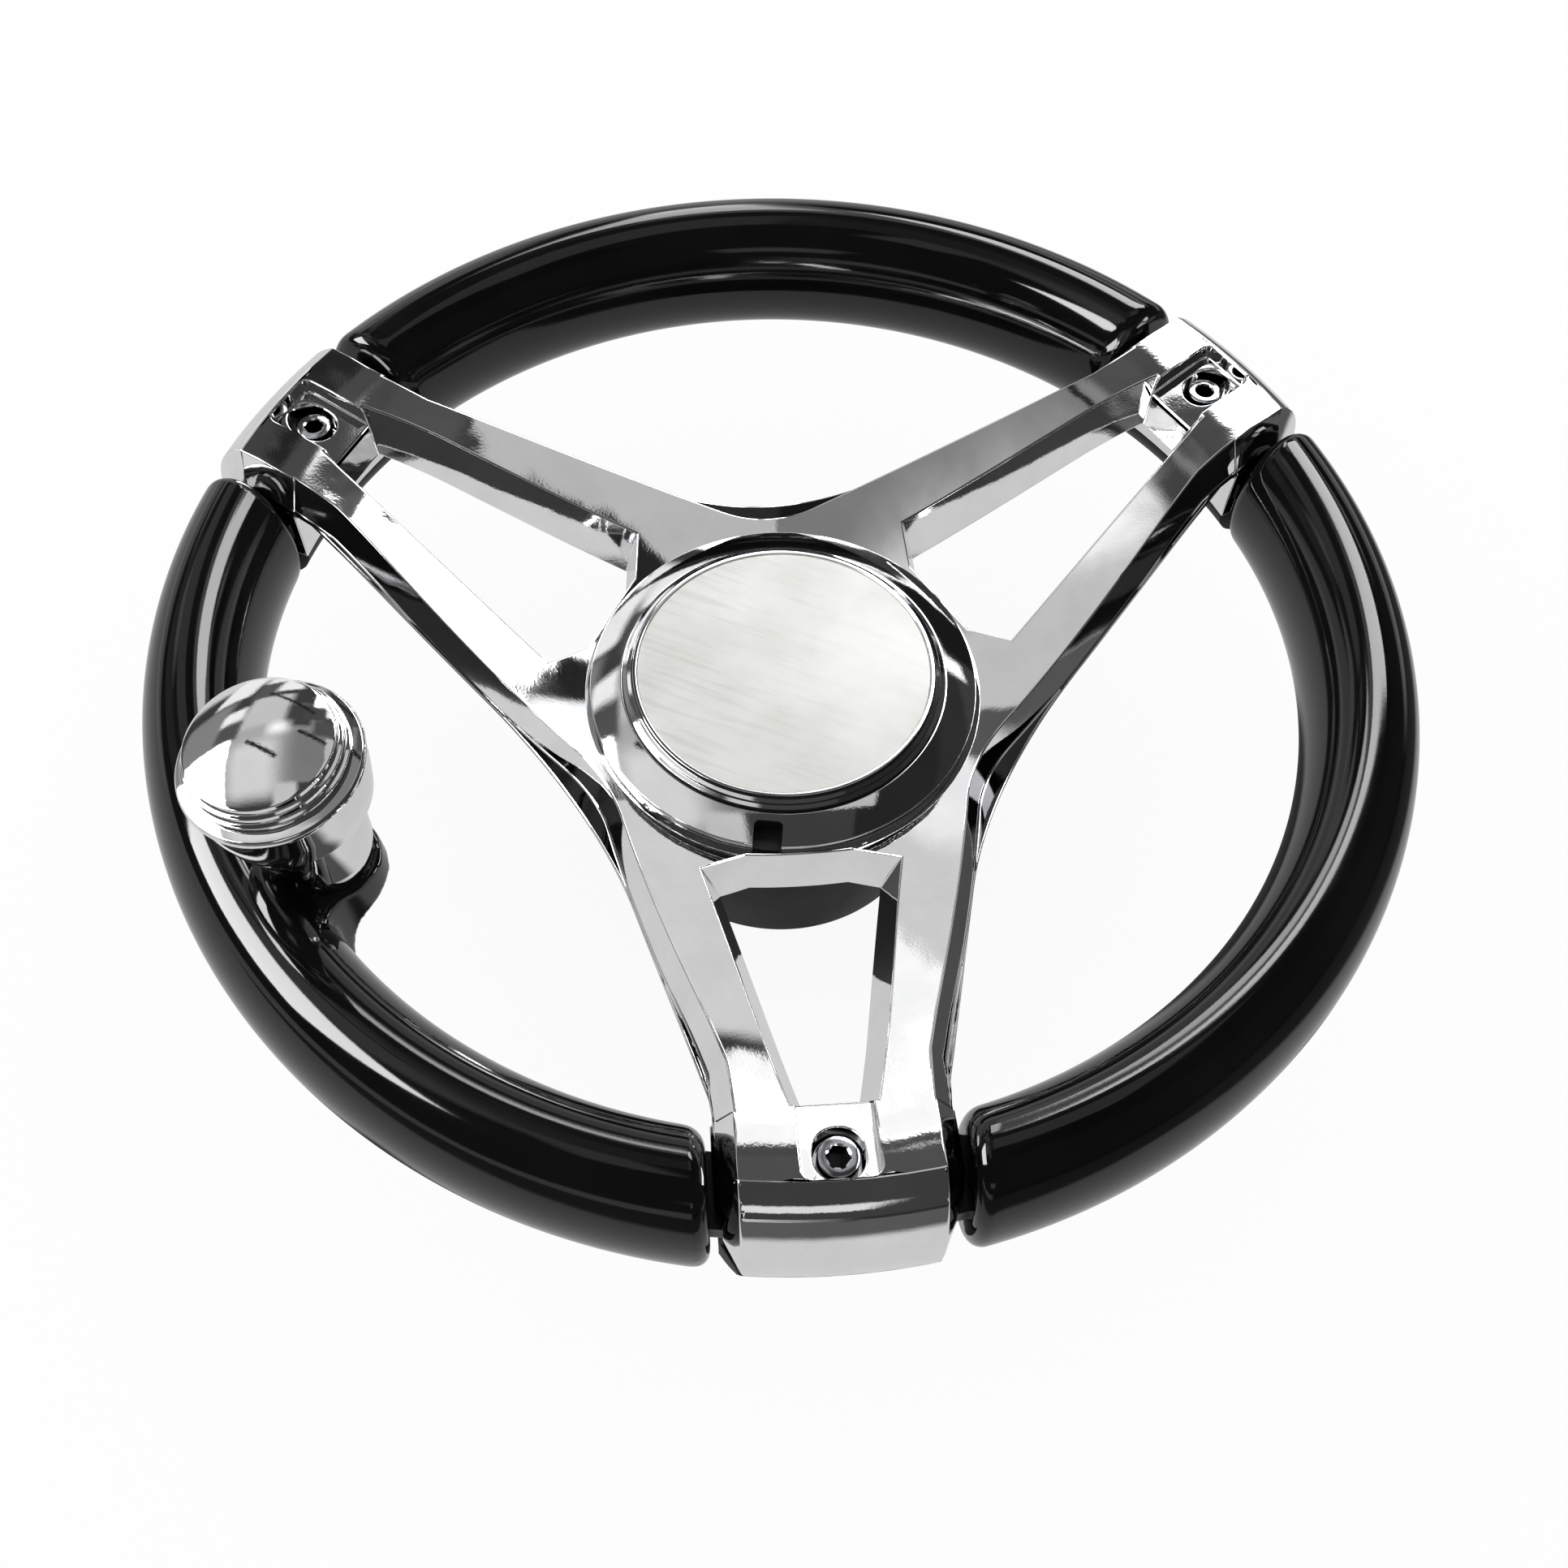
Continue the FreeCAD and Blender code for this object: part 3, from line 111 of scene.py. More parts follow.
def plated(name, wave_scale, dull=(0.80, 0.805, 0.815), bright=(0.90, 0.90, 0.905)):
    """Plating with a faint haze, the slow waves of the metal under it and a very fine grain."""
    wave_depth, grain_scale, grain_depth = 0.00022, 1400, 0.0001
    finish, tree, shader, place = node_tree(name)
    shader.inputs["Metallic"].default_value = 1.0
    haze = noise(tree, place, 60, 5, 0.6)
    tree.links.new(tint(tree, haze, dull, bright), shader.inputs["Base Color"])
    tree.links.new(spread(tree, haze, 0.02, 0.05), shader.inputs["Roughness"])
    waves = relief(tree, shader, noise(tree, place, wave_scale, 2, 0.4), 1.0, wave_depth)
    relief(tree, shader, noise(tree, place, grain_scale, 2, 0.5), 0.05, grain_depth, waves)
    return finish


cast_chrome = plated("cast_chrome", 42)
# Near-black plating for the lip below the spoke edges: painted shade.
lip_painted_shade = plated("lip_painted_shade", 42, (0.03, 0.03, 0.032), (0.05, 0.05, 0.052))


def merged_copy(source):
    """The CAD node's triangles joined into one skin."""
    work = bmesh.new()
    work.from_mesh(nodes[source].data)
    bmesh.ops.remove_doubles(work, verts=work.verts, dist=2e-6)
    work.normal_update()
    return work


def piece_from(work, name, finish=None):
    """Turns a worked mesh into an object of the scene."""
    mesh = bpy.data.meshes.new(name)
    work.to_mesh(mesh)
    work.free()
    if finish:
        mesh.materials.append(finish)
    piece = bpy.data.objects.new(name, mesh)
    bpy.context.scene.collection.objects.link(piece)
    return piece


def softened(name, work, finish, least_angle, width, true_normal=None, is_lip=None):
    """Rounds the edges of a merged skin over a narrow strip. Walls keep their own normals up to
    the strip, so that reflections bend only in it."""
    turned, lip, strip = 1, 2, 7  # marks kept in the material number while the mesh is worked
    for face in work.faces:
        face.material_index = 0
        if true_normal and all(true_normal(v.co, face.normal) is not None for v in face.verts):
            face.material_index += turned
        if is_lip and is_lip(face):
            face.material_index += lip
    edges = [e for e in work.edges if e.calc_face_angle(0) > math.radians(least_angle)]
    bmesh.ops.bevel(work, geom=edges, offset=width, offset_type="OFFSET", segments=2, profile=0.5,
                    affect="EDGES", clamp_overlap=False, loop_slide=True, material=strip)
    work.normal_update()
    near = 0.0004
    aims = []
    for vertex in work.verts:
        walls = [f for f in vertex.link_faces if f.material_index != strip] or list(vertex.link_faces)
        aim = Vector((0, 0, 0))
        for loop in vertex.link_loops:
            if loop.face in walls:
                normal = None
                if loop.face.material_index in (turned, turned + lip):
                    normal = true_normal(vertex.co, loop.face.normal, near)
                weight = loop.calc_angle() * math.sqrt(loop.face.calc_area())
                aim += (normal or loop.face.normal) * weight
        aims.append(aim.normalized() if aim.length > 1e-12 else vertex.normal.copy())
    for face in work.faces:
        face.material_index = 1 if face.material_index in (lip, turned + lip) else 0
        face.smooth = True
    piece = piece_from(work, name, finish)
    # the lip faces take the near-black plating, which is painted shade under the edges
    if is_lip:
        piece.data.materials.append(lip_painted_shade)
    piece.data.normals_split_custom_set_from_vertices(aims)
    return piece


# The dish: a straight cone from the hub plate to the knee, then an arc that flattens towards the
# rim, and two arcs that roll over the outside of each rim block. Points are radius and height.

plate_radius, plate_level = 0.05, 0.0618
dish_lean = math.radians(25.2)
knee_radius = 0.118
block_brow, block_shoulder, block_foot = (0.163, 0.1072), (0.1744, 0.093), (0.1747, 0.0755)
shoulder_round, side_round = 0.0217, 0.034
lip_top, lip_bottom, back = 0.009, 0.0112, 0.014

knee_at = Vector((knee_radius, plate_level + (knee_radius - plate_radius) * math.tan(dish_lean)))
run, rise = block_brow[0] - knee_at.x, block_brow[1] - knee_at.y
dish_bend = (run * run + rise * rise) / (2 * (run * math.sin(dish_lean) - rise * math.cos(dish_lean)))
dish_centre = knee_at + dish_bend * Vector((math.sin(dish_lean), -math.cos(dish_lean)))


def arc_centre(start, end, radius):
    """Centre of an arc that bulges outwards from start, the lower point, to end."""
    a, b = Vector(start), Vector(end)
    along = b - a
    side = Vector((-along.y, along.x)).normalized()
    return (a + b) / 2 + side * math.sqrt(radius * radius - along.length_squared / 4)


side_centre = arc_centre(block_foot, block_shoulder, side_round)
shoulder_centre = arc_centre(block_shoulder, block_brow, shoulder_round)


def dish_at(reach):
    """Level of the dish and the way it faces, at a distance from the wheel's axis."""
    if reach < knee_at.x:
        level = plate_level + (reach - plate_radius) * math.tan(dish_lean)
        return level, Vector((-math.sin(dish_lean), math.cos(dish_lean)))
    away = reach - dish_centre.x
    level = dish_centre.y + math.sqrt(dish_bend ** 2 - away ** 2)
    return level, Vector((away, level - dish_centre.y)).normalized()


dish_inside, dish_outside = plate_radius - 0.0005, block_brow[0] + 0.0001


def on_lip(face):
    """True on top and side of the lip that stands out below the edges of the face."""
    drops = []
    for vertex in face.verts:
        reach = math.hypot(vertex.co.x, vertex.co.y)
        if not dish_inside < reach < dish_outside:
            return False
        drops.append(dish_at(reach)[0] - vertex.co.z)
    return min(drops) > lip_top - 0.0002 and max(drops) < lip_bottom + 0.0003 and face.normal.z > -0.2


def dish_normal(point, face_normal, slack=0.00003):
    """Normal of the turned surface that a point of the casting lies on, or None."""
    reach = math.hypot(point.x, point.y)
    if reach < dish_inside:
        return None
    outward = Vector((point.x / reach, point.y / reach))
    lean = None
    if reach < dish_outside:
        level, tilt = dish_at(reach)
        for drop in (0.0, lip_top, lip_bottom, back):
            if abs(point.z - level + drop) < slack:
                lean = tilt
    for centre, radius in ((side_centre, side_round), (shoulder_centre, shoulder_round)):
        arm = Vector((reach, point.z)) - centre
        if lean is None and reach > block_brow[0] - 0.0002 and abs(arm.length - radius) < slack:
            lean = arm.normalized()
    if lean is None:
        return None
    normal = Vector((lean.x * outward.x, lean.x * outward.y, lean.y))
    if normal.dot(face_normal) < 0:
        normal = -normal
    return normal if normal.dot(face_normal) > 0.9 else None


spokes = softened("spoke_casting", merged_copy("spoke_frame"), cast_chrome, 17, 0.0005,
                  dish_normal, on_lip)
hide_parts("spoke_frame")
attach(spokes, "wheel")


# Rim core: a flat steel ring that runs round inside the grips and the rim blocks. Laser cut from
# plate and blackened, held up into the blocks by the clamps under them.

def milled(name, colour, darker, rough, streak):
    """Machined or cut metal with fine tool marks."""
    finish, tree, shader, place = node_tree(name)
    shader.inputs["Metallic"].default_value = 1.0
    marks = noise(tree, place, 90, 4, 0.6, streak)
    tree.links.new(tint(tree, marks, darker, colour), shader.inputs["Base Color"])
    tree.links.new(spread(tree, marks, rough * 0.75, rough * 1.3), shader.inputs["Roughness"])
    relief(tree, shader, marks, 0.25, 0.0001)
    return finish


def refinish(node, finish):
    """Gives a CAD node its finish."""
    mesh = nodes[node].data
    mesh.materials.clear()
    mesh.materials.append(finish)


zinc_steel = milled("zinc_steel", (0.56, 0.57, 0.60), (0.42, 0.43, 0.46), 0.32, (1, 1, 6))
black_steel = milled("black_steel", (0.045, 0.045, 0.05), (0.02, 0.02, 0.023), 0.38, (1, 1, 6))
refinish("rim_core", black_steel)


# Grips: three lengths of oval rim moulded in hard, glossy black skin over foam, with rounded
# ends that stop just short of the chrome blocks. The left one carries the boss for the knob.

def gloss_moulding(name, base, lighter, rough_low, rough_high):
    """Hard polished moulding with faint ripples and a fine grain."""
    finish, tree, shader, place = node_tree(name)
    cloud = noise(tree, place, 26, 4, 0.55)
    tree.links.new(tint(tree, cloud, base, lighter), shader.inputs["Base Color"])
    tree.links.new(spread(tree, cloud, rough_low, rough_high), shader.inputs["Roughness"])
    shader.inputs["Specular IOR Level"].default_value = 0.42
    ripples = relief(tree, shader, noise(tree, place, 24, 2, 0.4), 0.5, 0.00018)
    relief(tree, shader, noise(tree, place, 900, 3, 0.5), 0.04, 0.0001, ripples)
    return finish


grip_black = gloss_moulding("grip_black", (0.002, 0.002, 0.0024), (0.004, 0.004, 0.0046), 0.045, 0.10)
rim_radius, rim_height = 0.1601, 0.084
grip_half_width, grip_half_height = 0.0149, 0.0219
grip_end_line = 0.0297
grip_end_round = 0.0045


def grip_length(name, middle_angle, source):
    """Oval section swept round the rim, its ends parallel to the neighbouring spokes."""
    around, along, end_steps = 72, 96, 8
    start_spoke = math.radians(middle_angle - 60)
    end_spoke = math.radians(middle_angle + 60)
    work = bmesh.new()

    def ring(side, inset, shrink):
        """One section: side runs from 0 to 1 between the ends, inset is from the end plane."""
        row = []
        for k in range(around):
            t = 2 * math.pi * k / around
            r = rim_radius + (grip_half_width - shrink) * math.cos(t)
            z = rim_height + (grip_half_height - shrink) * math.sin(t)
            first = start_spoke + math.asin((grip_end_line + inset) / r)
            last = end_spoke - math.asin((grip_end_line + inset) / r)
            a = first + (last - first) * side
            row.append(work.verts.new((r * math.cos(a), r * math.sin(a), z)))
        return row

    quarter = [math.pi / 2 * k / end_steps for k in range(end_steps + 1)]
    ends = [(grip_end_round * (1 - math.cos(a)), grip_end_round * (1 - math.sin(a))) for a in quarter]
    rings = [ring(0, inset, shrink) for inset, shrink in ends]
    rings += [ring(k / along, grip_end_round, 0) for k in range(1, along)]
    rings += [ring(1, inset, shrink) for inset, shrink in reversed(ends)]
    for low, high in zip(rings, rings[1:]):
        for k in range(around):
            j = (k + 1) % around
            work.faces.new((low[k], low[j], high[j], high[k]))
    work.faces.new(list(reversed(rings[0])))
    work.faces.new(rings[-1])
    bmesh.ops.recalc_face_normals(work, faces=work.faces)
    piece = piece_from(work, name, grip_black)
    piece.data.shade_smooth()
    piece.data.set_sharp_from_angle(angle=math.radians(40))
    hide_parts(source)
    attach(piece, "wheel")
    return piece


grip_length("grip_moulding_top", 90, "grip_top")
grip_length("grip_moulding_right", 330, "grip_right")


# Knob axis: the spinner stands on the left grip and leans a little outwards from the wheel.

knob_reach, knob_angle, knob_lean = 0.1355, math.radians(210), math.radians(5.2)
knob_foot = Vector((knob_reach * math.cos(knob_angle), knob_reach * math.sin(knob_angle), rim_height))
knob_place = (Matrix.Translation(knob_foot) @ Matrix.Rotation(knob_angle, 4, "Z")
              @ Matrix.Rotation(knob_lean, 4, "Y"))


# Left grip: the same oval moulding, grown into a thick boss on its inner side that takes the
# knob's brass insert. The boss runs out into the rim in smooth hollows.

def prism(name, outline, low, high, place, upright=True):
    """A closed outline drawn out from low to high, along Z or, if not upright, along Y, then set
    in its place."""
    work = bmesh.new()
    ends = []
    for level in (low, high):
        ends.append([work.verts.new((x, y, level) if upright else (x, level, y)) for x, y in outline])
    count = len(outline)
    for k in range(count):
        j = (k + 1) % count
        work.faces.new((ends[0][k], ends[0][j], ends[1][j], ends[1][k]))
    work.faces.new(ends[0])
    work.faces.new(ends[1])
    bmesh.ops.recalc_face_normals(work, faces=work.faces)
    bmesh.ops.transform(work, matrix=place, verts=work.verts)
    return piece_from(work, name)


def swing(centre, radius, first, last, steps):
    """Points of an arc from one angle to another, in degrees."""
    turns = [math.radians(first + (last - first) * k / steps) for k in range(steps + 1)]
    return [(centre[0] + radius * math.cos(a), centre[1] + radius * math.sin(a)) for a in turns]


def frozen(piece):
    """Makes the modifiers of a piece part of its mesh."""
    bpy.context.view_layer.update()
    evaluated = piece.evaluated_get(bpy.context.evaluated_depsgraph_get())
    whole = bpy.data.meshes.new_from_object(evaluated)
    piece.modifiers.clear()
    piece.data = whole
    return whole


def left_grip():
    """Joins boss and grip, melts them into one skin, and keeps the oval's own normals on it."""
    plain = grip_length("grip_moulding_left", 210, "grip_left")
    boss_radius, hollow_radius, boss_reach = 0.012, 0.010, 0.016
    boss_low, boss_high = -0.016, 0.0135
    flank, side = 0.0025, 0.02186
    lean = math.degrees(math.atan2(side, flank))
    outline = [(boss_reach, -side)]
    outline += swing((flank, -side), hollow_radius, 0, 180 - lean, 12)
    outline += swing((0, 0), boss_radius, -lean, lean - 360, 24)[1:-1]
    outline += swing((flank, side), hollow_radius, lean - 180, 0, 12)
    outline += [(boss_reach, side)]
    boss = prism("boss_shape", outline, boss_low, boss_high, knob_place)
    under = [(-0.03, 0.004), (-0.03, -0.022), (0.012, -0.022), (0.012, -0.016)]
    under += swing((-0.0124, -0.01698), 0.021, 13.7, 90.8, 20)
    hollow = prism("boss_hollow_shape", under, -0.03, 0.03, knob_place, upright=False)
    for target, step, operation, other in (
            (boss, "hollow", "DIFFERENCE", hollow), (plain, "join", "UNION", boss)):
        cut = target.modifiers.new(step, "BOOLEAN")
        cut.operation = operation
        cut.solver = "EXACT"
        cut.object = other
    skin = plain.modifiers.new("skin", "REMESH")
    skin.mode = "VOXEL"
    skin.voxel_size = 0.00074
    ease = plain.modifiers.new("ease", "SMOOTH")
    ease.factor = 0.5
    ease.iterations = 16
    whole = frozen(plain)
    whole.shade_smooth()
    # the oval's own normal on its surface, blending into the skin's normal away from it
    aims = []
    for vertex in whole.vertices:
        reach = math.hypot(vertex.co.x, vertex.co.y)
        across = (reach - rim_radius) / grip_half_width
        above = (vertex.co.z - rim_height) / grip_half_height
        slope = Vector((vertex.co.x / reach * across / grip_half_width,
                        vertex.co.y / reach * across / grip_half_width,
                        above / grip_half_height)).normalized()
        off = abs(math.hypot(across, above) - 1)
        share = min(max((0.03 - off) / 0.02, 0), 1) if slope.dot(vertex.normal) > 0.97 else 0
        aims.append((slope * share + vertex.normal * (1 - share)).normalized())
    whole.normals_split_custom_set_from_vertices(aims)
    for helper in (boss, hollow):
        bpy.data.objects.remove(helper)


left_grip()


# Rear clamps: black moulded shells under the rim blocks that hold the core up into them.

def satin_moulding(name, base, lighter, rough, grain):
    """Dull plastic with a fine even grain."""
    finish, tree, shader, place = node_tree(name)
    cloud = noise(tree, place, 40, 4, 0.55)
    tree.links.new(tint(tree, cloud, base, lighter), shader.inputs["Base Color"])
    tree.links.new(spread(tree, cloud, rough * 0.85, rough * 1.15), shader.inputs["Roughness"])
    shader.inputs["Specular IOR Level"].default_value = 0.12
    fine = noise(tree, place, grain, 3, 0.6)
    relief(tree, shader, fine, 0.15, 0.0002)
    return finish


satin_black = satin_moulding("satin_black", (0.004, 0.004, 0.0045), (0.009, 0.009, 0.010), 0.46, 1300)


def clamp_skin(source, angle):
    """The clamp with its outer corners cut back along the bevels of the block above it."""
    half_width, bevel_along, bevel_out = 0.0227, 0.0055, 0.0104
    work = merged_copy(source)
    turn = Matrix.Rotation(math.radians(angle), 3, "Z")
    for side in (1, -1):
        corner = Vector((block_shoulder[0], side * half_width, 0))
        outward = Vector((bevel_along, side * bevel_out, 0)).normalized()
        everything = work.verts[:] + work.edges[:] + work.faces[:]
        cut = bmesh.ops.bisect_plane(work, geom=everything, dist=1e-7, plane_co=turn @ corner,
                                     plane_no=turn @ outward, clear_outer=True)
        rim = [item for item in cut["geom_cut"] if isinstance(item, bmesh.types.BMEdge)]
        bmesh.ops.triangle_fill(work, edges=rim, use_beauty=True)
    bmesh.ops.recalc_face_normals(work, faces=work.faces)
    work.normal_update()
    return work


for word, angle in (("right", 30), ("left", 150), ("bottom", 270)):
    skin = clamp_skin("rear_clamp_" + word, angle)
    clamp = softened("clamp_" + word, skin, satin_black, 25, 0.0005)
    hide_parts("rear_clamp_" + word)
    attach(clamp, "wheel")


# Spoke screws: steel socket-head screws sunk in each rim block, with painted shade inside the
# hexagon. One screw is turned, and Geometry Nodes set it round the wheel.

def face_over(work, corners):
    """A face over corners in order, each used once, where three or more are left."""
    used = []
    for corner in corners:
        if corner not in used:
            used.append(corner)
    if len(used) > 2:
        work.faces.new(used)


def screw_form(name, shank, tip, seat, head, top, across, depth):
    """One socket-head screw about Z, its head at top; top lower than tip turns it over."""
    up = 1 if top > tip else -1
    around = 48
    ease = 0.0004
    # radius, level, and 1 where the ring is a hexagon
    rings = [(0, tip, 0), (shank - ease, tip, 0), (shank, tip + up * ease, 0), (shank, seat, 0),
             (head - ease / 2, seat, 0), (head, seat + up * ease, 0),
             (head, top - up * ease * 1.5, 0), (head - ease * 0.5, top - up * ease * 0.5, 0),
             (head - ease * 1.5, top, 0),
             (across / 2 * 1.22, top, 0), (across / 2, top - up * ease * 0.8, 1),
             (across / 2, top - up * depth, 1), (0, top - up * (depth + 0.0004), 0)]
    work = bmesh.new()
    rows = []
    for radius, level, hexagon in rings:
        row = []
        for k in range(around):
            a = 2 * math.pi * k / around
            off = (k % 8) / 8 * math.pi / 3 - math.pi / 6
            r = radius / math.cos(off) if hexagon else radius
            if radius == 0:
                row = [work.verts.new((0, 0, level))] * around
                break
            row.append(work.verts.new((r * math.cos(a), r * math.sin(a), level)))
        rows.append(row)
    for here, following in zip(rows, rows[1:]):
        for k in range(around):
            j = (k + 1) % around
            face_over(work, (here[k], here[j], following[j], following[k]))
    bmesh.ops.recalc_face_normals(work, faces=work.faces)
    piece = piece_from(work, name)
    piece.data.shade_smooth()
    piece.data.set_sharp_from_angle(angle=math.radians(28))
    return piece


def ring_tree():
    """Sets its input evenly round a circle, each one turned a little differently about itself."""
    tree = bpy.data.node_groups.new("round_the_wheel", "GeometryNodeTree")
    for name, kind in (("Geometry", "NodeSocketGeometry"), ("Count", "NodeSocketInt"),
                       ("Circle", "NodeSocketFloat"), ("Start Angle", "NodeSocketFloat"),
                       ("Seed", "NodeSocketInt"), ("Finish", "NodeSocketMaterial")):
        tree.interface.new_socket(name, in_out="INPUT", socket_type=kind)
    tree.interface.new_socket("Geometry", in_out="OUTPUT", socket_type="NodeSocketGeometry")
    given = tree.nodes.new("NodeGroupInput")
    circle = tree.nodes.new("GeometryNodeMeshCircle")
    place = tree.nodes.new("GeometryNodeTransform")
    turn = tree.nodes.new("ShaderNodeCombineXYZ")
    chance = tree.nodes.new("FunctionNodeRandomValue")
    chance.data_type = "FLOAT"
    chance.inputs["Max"].default_value = math.pi / 3
    spin = tree.nodes.new("ShaderNodeCombineXYZ")
    stand = tree.nodes.new("FunctionNodeEulerToRotation")
    copies = tree.nodes.new("GeometryNodeInstanceOnPoints")
    real = tree.nodes.new("GeometryNodeRealizeInstances")
    coat = tree.nodes.new("GeometryNodeSetMaterial")
    result = tree.nodes.new("NodeGroupOutput")
    for start, end in (
            (given.outputs["Count"], circle.inputs["Vertices"]),
            (given.outputs["Circle"], circle.inputs["Radius"]),
            (circle.outputs["Mesh"], place.inputs["Geometry"]),
            (given.outputs["Start Angle"], turn.inputs["Z"]),
            (turn.outputs["Vector"], place.inputs["Rotation"]),
            (given.outputs["Seed"], chance.inputs["Seed"]),
            (chance.outputs[1], spin.inputs["Z"]),
            (spin.outputs["Vector"], stand.inputs["Euler"]),
            (place.outputs["Geometry"], copies.inputs["Points"]),
            (given.outputs["Geometry"], copies.inputs["Instance"]),
            (stand.outputs["Rotation"], copies.inputs["Rotation"]),
            (copies.outputs["Instances"], real.inputs["Geometry"]),
            (real.outputs["Geometry"], coat.inputs["Geometry"]),
            (given.outputs["Finish"], coat.inputs["Material"]),
            (coat.outputs["Geometry"], result.inputs["Geometry"])):
        tree.links.new(start, end)
    return tree


set_round = ring_tree()


def screw_ring(piece, finish, count, circle, start_angle, seed, sources):
    """Sets one screw round the wheel as the stand-in for its CAD nodes."""
    step = piece.modifiers.new("set_round", "NODES")
    step.node_group = set_round
    sockets = {item.name: item.identifier for item in set_round.interface.items_tree
               if item.in_out == "INPUT"}
    for name, value in (("Count", count), ("Circle", circle), ("Start Angle", start_angle),
                        ("Seed", seed), ("Finish", finish)):
        step[sockets[name]] = value
    frozen(piece)
    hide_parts(*sources)
    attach(piece, "wheel")


def parts_of(tree, output):
    """X, Y and Z of the object's or the world's own coordinates."""
    place = tree.nodes.new("ShaderNodeTexCoord")
    parts = tree.nodes.new("ShaderNodeSeparateXYZ")
    tree.links.new(place.outputs[output], parts.inputs["Vector"])
    return parts.outputs


def mixed_tint(tree, share, first, second, way="MIX"):
    """first where share is 0, second where it is 1; second is a socket or one colour."""
    node = tree.nodes.new("ShaderNodeMix")
    node.data_type = "RGBA"
    node.blend_type = way
    tree.links.new(share, node.inputs["Factor"])
    tree.links.new(first, node.inputs["A"])
    if isinstance(second, tuple):
        node.inputs["B"].default_value = (*second, 1)
    else:
        tree.links.new(second, node.inputs["B"])
    return node.outputs["Result"]


def steel_painted_dark_below(name, level):
    """Bright machined steel, painted near black below a level as painted shade inside the socket."""
    finish = milled(name, (0.62, 0.63, 0.65), (0.40, 0.41, 0.43), 0.16, (1, 1, 1))
    tree = finish.node_tree
    shader = tree.nodes["Principled BSDF"]
    bright = shader.inputs["Base Color"].links[0].from_socket
    # painted shade: near black below the level, inside the socket
    inside = spread(tree, parts_of(tree, "Object")["Z"], 1.0, 0.0, level - 0.0004, level)
    tree.links.new(mixed_tint(tree, inside, bright, (0.02, 0.02, 0.022)), shader.inputs["Base Color"])
    return finish


screw_head_top = 0.099
steel_with_painted_socket_shade = steel_painted_dark_below("steel_with_painted_socket_shade", screw_head_top - 0.0004)
rim_screw = screw_form("rim_screws", shank=0.003, tip=0.066, seat=0.093, head=0.005,
                       top=screw_head_top, across=0.005, depth=0.0035)
screw_ring(rim_screw, steel_with_painted_socket_shade, 3, 0.1545, math.radians(30), 4,
           ["spoke_screw_right", "spoke_screw_left", "spoke_screw_bottom"])


# Hub carrier, hub screws and shroud: an aluminium sleeve turned from a casting, bolted under the
# hub plate, inside a plain black moulded cover.

turned_aluminium = milled("turned_aluminium", (0.64, 0.645, 0.655), (0.50, 0.505, 0.52), 0.30,
                          (1, 1, 9))
refinish("hub_carrier", turned_aluminium)
screw_low, screw_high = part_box("hub_screws")
hub_bolt = screw_form("hub_bolts", shank=0.0025, tip=screw_high.z, seat=screw_low.z + 0.005,
                      head=0.00425, top=screw_low.z, across=0.004, depth=0.0025)
screw_ring(hub_bolt, zinc_steel, 6, 0.036, 0.0, 7, ["hub_screws"])


def eased(profile, radius, steps=4):
    """Rounds the corners of a closed (radius, height) profile; points on the axis stay."""
    nearly_straight = math.radians(172)
    smooth = []
    count = len(profile)
    for k in range(count):
        here = Vector(profile[k])
        before, after = Vector(profile[k - 1]), Vector(profile[(k + 1) % count])
        a, b = before - here, after - here
        no_corner = here.x < 1e-6 or a.length < 1e-7 or b.length < 1e-7
        if no_corner or a.angle(b) > nearly_straight:
            smooth.append(tuple(here))
            continue
        cut = min(radius / math.tan(a.angle(b) / 2), a.length * 0.45, b.length * 0.45)
        start, end = here + a.normalized() * cut, here + b.normalized() * cut
        for n in range(steps + 1):
            t = n / steps
            smooth.append(tuple(start * (1 - t) ** 2 + here * 2 * t * (1 - t) + end * t ** 2))
    return smooth


def lathe(name, profile, finish, body, source, place=None, turns=160, sharp=30):
    """A closed profile of (radius, height) turned about Z, then set on its axis."""
    work = bmesh.new()
    poles = {}
    columns = []
    for k in range(turns):
        a = 2 * math.pi * k / turns
        column = []
        for n, (r, z) in enumerate(profile):
            if r > 1e-6:
                column.append(work.verts.new((r * math.cos(a), r * math.sin(a), z)))
                continue
            if n not in poles:
                poles[n] = work.verts.new((0, 0, z))
            column.append(poles[n])
        columns.append(column)
    for here, following in zip(columns, columns[1:] + columns[:1]):
        for n in range(len(profile)):
            m = (n + 1) % len(profile)
            face_over(work, (here[n], following[n], following[m], here[m]))
    bmesh.ops.recalc_face_normals(work, faces=work.faces)
    if place is not None:
        bmesh.ops.transform(work, matrix=place, verts=work.verts)
    piece = piece_from(work, name, finish)
    piece.data.shade_smooth()
    piece.data.set_sharp_from_angle(angle=math.radians(sharp))
    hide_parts(source)
    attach(piece, body)
    return piece


lathe("shroud_cover", eased([
    (0.02415, 0.0), (0.0470, 0.0), (0.04775, 0.0008), (0.0500, 0.0500), (0.0475, 0.0500),
    (0.04525, 0.0030), (0.02415, 0.0030)], 0.0008), satin_black, "wheel", "hub_shroud")


# Bezel: a chromed cone ring that seats on the spoke frame, with a small rounded notch towards
# the lower spoke where the cap is prised out.

trim_chrome = plated("trim_chrome", 30)


